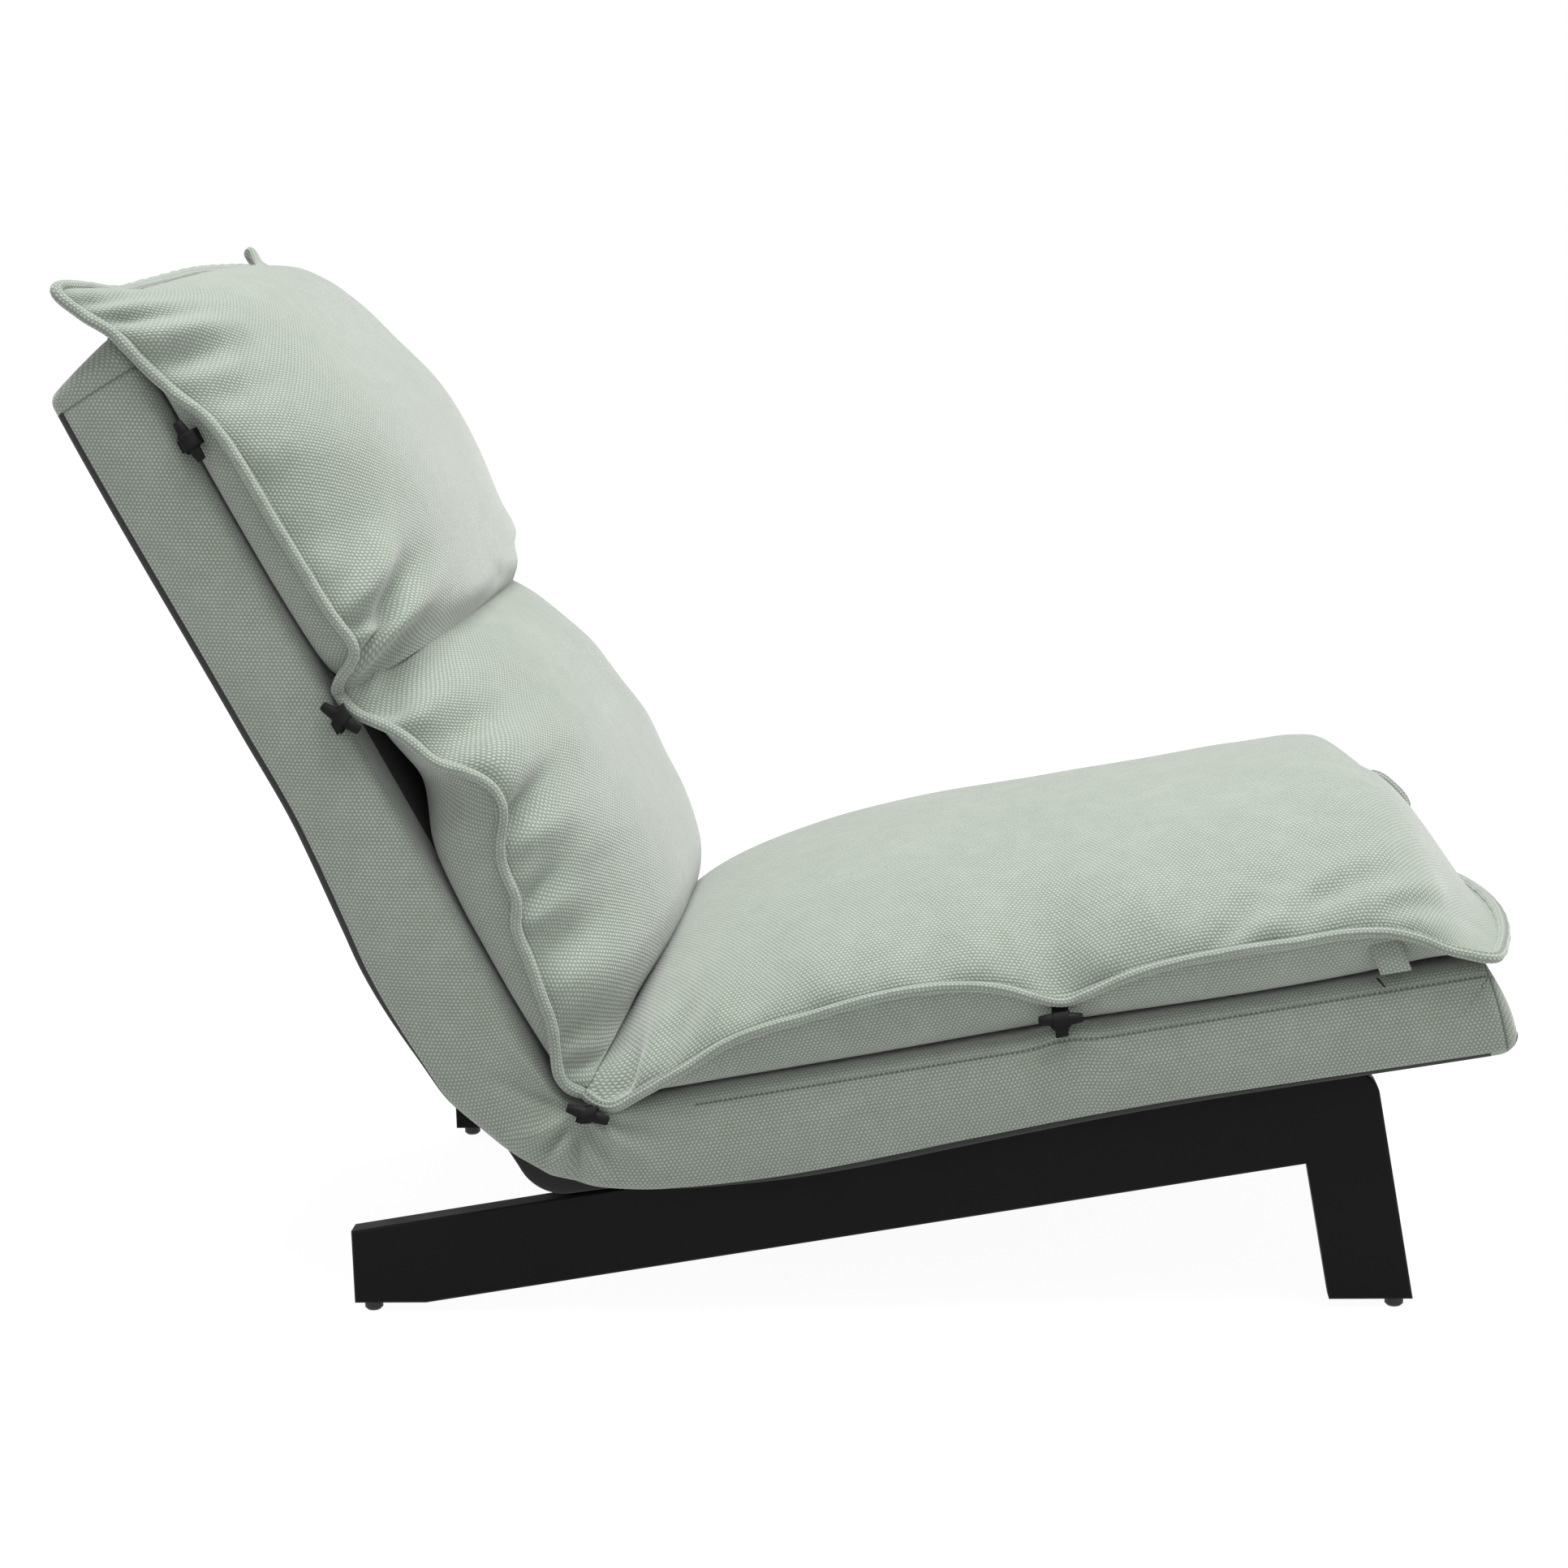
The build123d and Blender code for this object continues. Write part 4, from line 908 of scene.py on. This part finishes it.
def settle(points, gather):
    """Let a cushion's face settle as cloth blown up by its filling and held at its seam.

    gather, from 0 to 1, says how much spare cloth there is. Returns the points with the wrinkles that come.
    """
    rows, columns = points.shape[:2]
    work = bmesh.new()
    spots = lay_grid(work, points)
    work.verts.index_update()
    order = np.zeros((rows, columns), int)
    for vert, spot in spots.items():
        order[spot] = vert.index
    piece = as_object("settling", work)
    mesh = piece.data
    held = piece.vertex_groups.new(name="held")
    border = np.concatenate([order[0], order[-1], order[:, 0], order[:, -1]])
    held.add([int(index) for index in border], 1.0, "REPLACE")
    spare = piece.vertex_groups.new(name="spare")
    for spot in np.ndindex(rows, columns):
        spare.add([int(order[spot])], float(gather[spot]), "REPLACE")
    cloth = piece.modifiers.new("cloth", "CLOTH")
    cloth.collision_settings.use_collision = False
    cloth.point_cache.frame_start = 1
    cloth.point_cache.frame_end = SETTLE_FRAMES
    settings = cloth.settings
    settings.quality = 6
    settings.mass = 0.2
    settings.tension_stiffness = 30.0
    settings.compression_stiffness = 30.0
    settings.shear_stiffness = 12.0
    settings.bending_stiffness = 0.12
    settings.vertex_group_mass = "held"
    settings.vertex_group_shrink = "spare"
    settings.shrink_min = 0.0
    settings.shrink_max = -SPARE_CLOTH
    settings.use_pressure = True
    middle = mesh.polygons[len(mesh.polygons) // 2]
    outwards = np.dot(np.array(middle.normal), up_from_seam(points))
    settings.uniform_pressure_force = FILLING_PRESSURE if outwards > 0 else -FILLING_PRESSURE
    settings.effector_weights.gravity = 0.0
    for number in range(1, SETTLE_FRAMES + 1):
        scene.frame_set(number)
    settled = piece.evaluated_get(bpy.context.evaluated_depsgraph_get()).data
    places = np.zeros(len(settled.vertices) * 3)
    settled.vertices.foreach_get("co", places)
    scene.frame_set(1)
    bpy.data.objects.remove(piece)
    bpy.data.meshes.remove(mesh)
    # Only the wrinkles are kept, because the broad swelling is already in the cushion's form
    move = places.reshape(-1, 3)[order] - points
    move = move - soften(move, BROAD_WAVES)
    size = np.linalg.norm(move, axis=2)[..., None]
    return points + move * np.minimum(1.0, MOST_MOVE / np.maximum(size, 1e-9))


def press_folds(points, u, across, folds):
    """Press folds into a cushion's face, the same on both sides."""
    normal = np.cross(np.gradient(points, axis=0), np.gradient(points, axis=1))
    normal /= np.maximum(np.linalg.norm(normal, axis=2), 1e-12)[..., None]
    press = np.zeros(points.shape[:2])
    for from_seam in ((across - across[:, :1]) * 1000, (across[:, -1:] - across) * 1000):
        for start, inset, heading, length, width, depth in folds:
            turn = math.radians(heading)
            along_u = u[:, None] - start
            inward = from_seam - inset
            along = along_u * math.cos(turn) + inward * math.sin(turn)
            aside = inward * math.cos(turn) - along_u * math.sin(turn)
            part = np.clip(along / length, 0, 1)
            spread = width * (0.7 + 0.8 * part)
            strength = smooth_step((along / length + 0.2) / 0.3) * (1 - smooth_step(along / length))
            ridge = np.exp(-((np.abs(aside) - RIDGE_AT * spread) / spread) ** 2)
            valley = np.exp(-(aside / spread) ** 2) - RIDGE_SHARE * ridge
            press += depth * strength * valley
    facing = np.sign(normal[points.shape[0] // 2, points.shape[1] // 2] @ up_from_seam(points))
    held = np.minimum(1.0, np.minimum(across - across[:, :1], across[:, -1:] - across) / SEAM_HOLD)
    return points - normal * (facing * press * held * 0.001)[..., None]


def piping(work, seam_line, inner):
    """The folded and stitched edge of a cushion, swept along its open seam; inner lies inside the cushion."""
    # Both ends run on a little, so that the folds of neighbouring cushions join
    for end, beside in ((0, 1), (-1, -2)):
        lap = seam_line[end] - seam_line[beside]
        lap = seam_line[end] + lap * END_LAP / np.linalg.norm(lap)
        spot = 0 if end == 0 else len(seam_line)
        seam_line = np.insert(seam_line, spot, lap, axis=0)
        inner = np.insert(inner, spot, inner[end], axis=0)
    length = running_length(seam_line)
    count = int(length[-1] / PIPING_STEP)
    at = np.linspace(0, length[-1], count + 1)
    path = smoothed(along_line(seam_line, length, at), 3)
    outward = smoothed(along_line(seam_line - inner, length, at), 3)
    along = np.gradient(path, axis=0)
    along /= np.linalg.norm(along, axis=1)[:, None]
    outward -= along * np.sum(outward * along, axis=1)[:, None]
    outward /= np.linalg.norm(outward, axis=1)[:, None]
    upright = np.cross(along, outward)
    angles = np.linspace(0, 2 * math.pi, 15)
    ripple = 1
    for swell, wave, start in ripples:
        ripple = ripple + swell * np.sin(at * 2 * math.pi / wave + start)
    taper = np.sqrt(np.clip(np.minimum(at, length[-1] - at) / END_CLOSE, 0, 1))
    reach = PIPING_REACH + np.cos(angles)[None, :] * PIPING_WIDTH * (ripple * taper)[:, None]
    height = np.sin(angles)[None, :] * PIPING_HEIGHT * taper[:, None]
    offset = outward[:, None, :] * reach[..., None] + upright[:, None, :] * height[..., None]
    points = path[:, None, :] + offset * 0.001
    run = at[:, None] * np.ones((1, len(angles)))
    around = angles[None, :] * (PIPING_WIDTH + PIPING_HEIGHT) / 2 * 0.001 * np.ones((count + 1, 1))
    lower = angles - math.radians(STITCH_ANGLE)
    stitch = np.arctan2(np.sin(lower), np.cos(lower))[None, :] * 0.0052 * np.ones((count + 1, 1))
    lay_skin(work, points, np.stack([run, around], axis=-1), stitch, run)


def pillow(
    name, place, near_seam, far_seam, crown, power, shelf, drop, folds, first_lean=None, last_bow=None
):
    """A cushion of two faces joined at a seam, with a folded edge along the seam.

    power says how square its section is. first_lean leans the first end on its neighbour. last_bow shifts
    the last end, which is then a free edge.
    """
    first = near_seam[0][0]
    last = near_seam[-1][0]
    # Rows lie closer together near the ends, and columns near the seams
    s = np.linspace(0, 1, CUSHION_ROWS)
    u = first + (last - first) * ((0.5 - 0.5 * np.cos(math.pi * s)) * 0.45 + s * 0.55)
    tau = np.linspace(-1, 1, CUSHION_COLUMNS)
    t = np.sign(tau) * (1 - (1 - np.abs(tau)) ** 1.3)
    near_half = curve(near_seam, 1, u)
    far_half = curve(far_seam, 1, u)
    near = curve(near_seam, 2, u)
    far = curve(far_seam, 2, u)
    top = curve(crown, 1, u)
    far_share = (1 + t[None, :]) / 2
    y = t[None, :] * (near_half[:, None] * (1 - far_share) + far_half[:, None] * far_share)
    # The seam's short waves fade into the cushion, its mean height reaches the middle
    calm_near = calm(near, SEAM_CALM)
    calm_far = calm(far, SEAM_CALM)
    inward = (1 - np.abs(t))[None, :] * near_half[:, None]
    waves = np.where(t[None, :] < 0, (near - calm_near)[:, None], (far - calm_far)[:, None])
    waves = waves * np.exp(-inward / WAVE_FADE)
    seam = calm_near[:, None] * (1 - far_share) + calm_far[:, None] * far_share + waves
    middle = (calm_near + calm_far) / 2
    rise = np.maximum(top - middle, 0)
    full = (1 - np.abs(t) ** power) ** CROWN_ROUNDNESS
    w_top = seam + rise[:, None] * full[None, :]
    depth = np.maximum(middle - curve(shelf, 1, u), LEAST_DEPTH)
    flat = (1 - np.abs(t)[None, :] ** curve(drop, 1, u)[:, None]) ** UNDER_ROUNDNESS
    ends = (1 - np.abs(2 * s - 1) ** END_SQUARENESS) ** UNDER_ROUNDNESS
    end_rise = rise[0] * np.exp(-(u - first) / END_FADE) + rise[-1] * np.exp(-(last - u) / END_FADE)
    edge_height = seam + end_rise[:, None] * full[None, :]
    w_low = edge_height - (edge_height - (middle - depth)[:, None]) * (flat * ends[:, None])
    shift = np.zeros_like(y)
    if first_lean is not None:
        shift += (first_lean * w_top[0] - first)[None, :] * np.exp(-(u - first) / LEAN_FADE)[:, None]
    if last_bow is not None:
        shift += curve(last_bow, 1, t)[None, :] * np.exp(-(last - u) / BOW_FADE)[:, None]
    u_grid = u[:, None] + shift
    top_points = place(u_grid, y, w_top)
    low_points = place(u_grid, y, w_low)
    uv = cloth_lengths(top_points)
    from_end = np.minimum(u - first, last - u)[:, None]
    top_points = settle(top_points, np.exp(-np.minimum(inward, from_end) / SPARE_FADE))
    top_points = press_folds(top_points, u, uv[..., 1], folds)
    work = new_work()
    lay_skin(work, top_points, uv)
    lay_skin(work, low_points, cloth_lengths(low_points))
    near_edge = [(row, 0) for row in range(CUSHION_ROWS)]
    last_edge = [(CUSHION_ROWS - 1, column) for column in range(1, CUSHION_COLUMNS)]
    far_edge = [(row, CUSHION_COLUMNS - 1) for row in range(CUSHION_ROWS)]
    edges = [near_edge, far_edge]
    if last_bow is not None:
        edges = [near_edge + last_edge + far_edge[-2::-1]]
    for edge in edges:
        inside = [
            (min(max(row, 4), CUSHION_ROWS - 5), min(max(column, 5), CUSHION_COLUMNS - 6))
            for row, column in edge
        ]
        seam_line = np.array([top_points[spot] for spot in edge])
        inner = np.array([(top_points[spot] + low_points[spot]) / 2 for spot in inside])
        piping(work, seam_line, inner)
    piece = finish_piece(name, work, [weave])
    rounding = piece.modifiers.new("rounding", "SUBSURF")
    rounding.levels = 1
    rounding.render_levels = 1
    return piece


seat_lean = 1 / math.tan(CREASE_ANGLE)
lumbar_lean = 1 / math.tan(FOLD - CREASE_ANGLE)
level_shelf = [(0, SHELF), (400, SHELF), (800, SHELF)]
drooping_shelf = [(400, SHELF), (650, SHELF), (690, SHELF), (712, 38), (739, 27), (790, 4)]
seat_topper = pillow(
    "seat_topper", seat_side, seat_near, seat_far, seat_crown, 2.4, level_shelf, seat_drop, seat_creases,
    seat_lean, front_bow,
)
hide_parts("seat_cushion")
# Seat and lumbar cushions are sewn together at the crease, so their ends give as the back reclines
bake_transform(seat_topper, "base", "backrest", start=blend_start, end=blend_end)
lumbar_topper = pillow(
    "lumbar_topper", back_side, lumbar_near, lumbar_far, lumbar_crown, 2.8, level_shelf, lumbar_drop,
    lumbar_creases, lumbar_lean,
)
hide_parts("lumbar_cushion")
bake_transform(lumbar_topper, "base", "backrest", start=blend_start, end=blend_end)
head_topper = pillow(
    "head_topper", back_side, head_near, head_far, head_crown, 3.0, drooping_shelf, head_drop, head_creases,
    None, top_bow,
)
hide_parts("head_cushion")
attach(head_topper, "backrest")

# Toggles that tie the topper to the shell: a turned bar, a webbing strap round it and a loop from the shell
BAR_Y = 301.8
BAR_SINK = 5.9
bar_profile = [
    (-17.5, 0.0), (-17.5, 2.9), (-16.6, 3.7), (-9.0, 4.8), (0.0, 5.0), (9.0, 4.8), (16.6, 3.7),
    (17.5, 2.9), (17.5, 0.0),
]
STRAP_WIDTH = 13.0
STRAP_THICK = 1.4
NECK_WIDTH = 10.0
LOOP_WIDTH = 17.0


def toggle_bar(work, place, u, y, w, tilt):
    """One turned bar, spun from its profile in an empty bmesh and laid along the shell's edge with a tilt."""
    verts = [work.verts.new((along * 0.001, 0.0, radius * 0.001)) for along, radius in bar_profile]
    edges = [work.edges.new(pair) for pair in zip(verts[:-1], verts[1:])]
    bmesh.ops.spin(
        work, geom=verts + edges, cent=(0, 0, 0), axis=(1, 0, 0), angle=2 * math.pi, steps=18, use_merge=True
    )
    origin = place(u, y, w)
    along_way = (place(u + 1, y, w) - origin) * 1000
    up_way = (place(u, y, w + 1) - origin) * 1000
    slope = math.radians(tilt)
    long_way = along_way * math.cos(slope) + up_way * math.sin(slope)
    high_way = up_way * math.cos(slope) - along_way * math.sin(slope)
    laid = placing([long_way, np.array([0.0, 1.0, 0.0]), high_way, origin])
    bmesh.ops.transform(work, matrix=laid, verts=work.verts)
    for face in work.faces:
        face.smooth = True


def strap_line(side, bar_w, hang_w, tilt):
    """The strap's line: from the cushion's edge down, round the outside of the bar and back under it."""
    line = [(BAR_Y - 14, hang_w), (BAR_Y - 6, bar_w + 0.55 * (hang_w - bar_w))]
    for angle in np.linspace(60, 300, 13):
        turn = math.radians(angle)
        line.append((BAR_Y - BAR_SINK * math.cos(turn), bar_w + BAR_SINK * math.sin(turn)))
    line += [(BAR_Y - 6, bar_w + 1), (BAR_Y - 12, (hang_w + bar_w) / 2)]
    slope = math.tan(math.radians(tilt))
    return [(side * y, w, slope * (bar_w - w), STRAP_WIDTH) for y, w in line]


def loop_line(side, bar_w, foot_w, tilt):
    """The loop's line: from its neck on the shell's edge up behind the bar, which lies across it."""
    line = [
        (HALF_WIDTH - 1.0, foot_w - 6, NECK_WIDTH), (HALF_WIDTH + 3.6, foot_w - 1, NECK_WIDTH),
        (HALF_WIDTH + 4.4, foot_w + 2, NECK_WIDTH + 2), (BAR_Y - 2.0, bar_w - 6.2, LOOP_WIDTH),
        (BAR_Y - 6.0, bar_w, LOOP_WIDTH), (BAR_Y - 8.0, bar_w + 5, STRAP_WIDTH),
    ]
    slope = math.tan(math.radians(tilt))
    return [(side * y, w, slope * (bar_w - w), width) for y, w, width in line]


# Each row: group, place along the shell, side of the chair's frame, height of the bar, of the strap's upper
# end and of the neck, the bar's tilt, and what it rides on
toggle_rows = [
    ("seat", SEAT_TOGGLE_AT, seat_side, 51.5, 64.0, 42.0, -5.0, "base"),
    ("crease", 45.0, seat_side, 37.0, 38.5, 34.5, -28.0, "base"),
    ("back", 391.0, back_side, 41.0, 48.5, 35.5, -27.0, "backrest"),
    ("head", 634.0, back_side, 46.5, 57.0, 41.0, -4.0, "backrest"),
]
for group, u, place, bar_w, hang_w, foot_w, tilt, body in toggle_rows:
    bars = bmesh.new()
    straps = new_work()
    loops = new_work()
    for side in (-1, 1):
        bar = bmesh.new()
        toggle_bar(bar, place, u, side * BAR_Y, bar_w, tilt)
        bar_mesh = bpy.data.meshes.new("bar")
        bar.to_mesh(bar_mesh)
        bar.free()
        bars.from_mesh(bar_mesh)
        bpy.data.meshes.remove(bar_mesh)
        ribbon(straps, strap_line(side, bar_w, hang_w, tilt), STRAP_THICK, place, u)
        ribbon(loops, loop_line(side, bar_w, foot_w, tilt), STRAP_THICK, place, u)
    for name, work, node, material, slot in (
        (group + "_toggle_bars", bars, group + "_toggles", plastic, "toggle"),
        (group + "_toggle_straps", straps, group + "_straps", strap_cloth, "strap"),
        (group + "_toggle_loops", loops, group + "_loops", strap_cloth, "strap"),
    ):
        piece = finish_piece(name, work, [material])
        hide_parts(node)
        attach(piece, body)

# Folded tabs of the green cloth near the front, sewn under the cushion's edge, each with a thread end below
TAB_AT = 684.0
TAB_WIDTH = 24.0
TAB_THICK = 2.4
TAB_TOP = 76.0
TAB_DROP = 32.0
TAB_LEAN = 6.0
THREAD_WIDTH = 1.6
THREAD_THICK = 0.8
tab_line = [
    (294.5, 76.0), (299.5, 70.0), (303.0, 60.0), (304.5, 51.0), (303.5, 45.5), (300.5, 44.0),
    (298.5, 47.0), (297.6, 55.0), (294.0, 66.0),
]
thread_line = [(296.4, 42.0, -9.0), (297.8, 38.0, -6.6), (298.2, 34.0, -4.2)]
tabs = new_work()
for side in (-1, 1):
    leaning = [(side * y, w, TAB_LEAN * (TAB_TOP - w) / TAB_DROP, TAB_WIDTH) for y, w in tab_line]
    ribbon(tabs, leaning, TAB_THICK, seat_side, TAB_AT)
    thread = [(side * y, w, shift, THREAD_WIDTH) for y, w, shift in thread_line]
    ribbon(tabs, thread, THREAD_THICK, seat_side, TAB_AT, 1)
cloth_tabs = finish_piece("cloth_tabs", tabs, [weave, strap_cloth])
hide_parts("front_tabs")
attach(cloth_tabs, "base")

# Finishes of the nodes that show as they were built
finishes = [
    (paint, "right_side_rail", "left_side_rail", "right_front_leg", "left_front_leg", "front_stretcher",
     "rear_stretcher"),
    (birch, "mitre_biscuits"),
    (glide_plastic, "front_glides", "rear_glides"),
    (steel, "frame_bolts", "seat_frame", "back_frame", "hinge_forks", "hinge_tongues", "hinge_pivots",
     "pawl_pins", "pawl_springs", "left_pawl", "right_pawl"),
    (strap_cloth, "seat_webbing", "back_webbing"),
]
for finish, *nodes in finishes:
    for node in nodes:
        mesh = frame["nodes"][node].data
        mesh.materials.clear()
        mesh.materials.append(finish)

# Studio: a pale floor that looks white to the camera, a white backdrop, soft light from above
SKY_LIGHT = 0.70
KEY_POWER = 1530.0
KEY_SIZE = 6.4
KEY_AT = (1.4, -0.3, 9.2)
KEY_TARGET = (0.0, 0.0, 0.3)
FLOOR_HALF = 9.0
FLOOR_GLOW = 0.95
floor_work = bmesh.new()
bmesh.ops.create_grid(floor_work, x_segments=1, y_segments=1, size=FLOOR_HALF)
floor = as_object("floor", floor_work)


def seen_directly(tree):
    """1 for rays from the camera and for what metal and glass show, 0 for light that falls on the object."""
    path = tree.nodes.new("ShaderNodeLightPath")
    total = path.outputs["Is Camera Ray"]
    for name in ("Is Glossy Ray", "Is Transmission Ray"):
        either = tree.nodes.new("ShaderNodeMath")
        either.operation = "MAXIMUM"
        tree.links.new(total, either.inputs[0])
        tree.links.new(path.outputs[name], either.inputs[1])
        total = either.outputs[0]
    return total


floor_nodes = Nodes("white_floor")
seen = seen_directly(floor_nodes.tree)
floor_grain = floor_nodes.noise(floor_nodes.object_place(), 3.0)
pale = floor_nodes.mix(floor_grain, (0.54, 0.54, 0.54, 1), (0.56, 0.56, 0.56, 1))
floor_nodes.shade({
    "Base Color": floor_nodes.mix(seen, pale, (0.10, 0.10, 0.10, 1)), "Roughness": 0.9,
    "Specular IOR Level": 0.0, "Emission Color": (1, 1, 1, 1),
    "Emission Strength": floor_nodes.math("MULTIPLY", seen, FLOOR_GLOW),
})
floor.data.materials.append(floor_nodes.material)

world = bpy.data.worlds.new("studio")
world.use_nodes = True
sky = world.node_tree
backdrop = sky.nodes["Background"]
backdrop.inputs["Color"].default_value = (1, 1, 1, 1)
strength = sky.nodes.new("ShaderNodeMapRange")
sky.links.new(seen_directly(sky), strength.inputs["Value"])
strength.inputs["To Min"].default_value = SKY_LIGHT
strength.inputs["To Max"].default_value = 1.0
sky.links.new(strength.outputs["Result"], backdrop.inputs["Strength"])
scene.world = world


def soft_light(name, at, target, size, power):
    """A square area light aimed at a point."""
    data = bpy.data.lights.new(name, "AREA")
    data.energy = power
    data.size = size
    lamp = bpy.data.objects.new(name, data)
    scene.collection.objects.link(lamp)
    away = np.array(at, float) - np.array(target, float)
    away /= np.linalg.norm(away)
    side = np.cross((0.0, 1.0, 0.0), away)
    side /= np.linalg.norm(side)
    upright = np.cross(away, side)
    lamp.matrix_world = placing([side, upright, away, np.array(at, float)])


soft_light("key", KEY_AT, KEY_TARGET, KEY_SIZE, KEY_POWER)

# Camera at the photograph's place, with its slight roll. The eye is given from the hinge, in metres, and the
# focal length and the photograph's width in pixels.
PITCH = math.radians(10.417)
YAW = math.radians(4.132)
ROLL = math.radians(-1.634)
EYE_X = 0.3770
EYE_Y = -2.7141
EYE_Z = 0.7531
FOCAL_PIXELS = 3900.0
PHOTO_PIXELS = 1932.0
SENSOR_WIDTH = 36.0
forward = np.array([-math.sin(YAW) * math.cos(PITCH), math.cos(YAW) * math.cos(PITCH), -math.sin(PITCH)])
level = np.array([math.cos(YAW), math.sin(YAW), 0.0])
above = np.cross(level, forward)
right = level * math.cos(ROLL) + above * math.sin(ROLL)
upward = above * math.cos(ROLL) - level * math.sin(ROLL)
eye = np.array([EYE_X + HINGE_X * 0.001, EYE_Y, EYE_Z + HINGE_Z * 0.001])
camera_data = bpy.data.cameras.new("camera")
camera_data.sensor_width = SENSOR_WIDTH
camera_data.lens = SENSOR_WIDTH * FOCAL_PIXELS / PHOTO_PIXELS
camera_data.clip_end = 100.0
camera = bpy.data.objects.new("camera", camera_data)
scene.collection.objects.link(camera)
camera.matrix_world = placing([right, upward, -forward, eye])
scene.camera = camera
scene.view_settings.view_transform = "Standard"
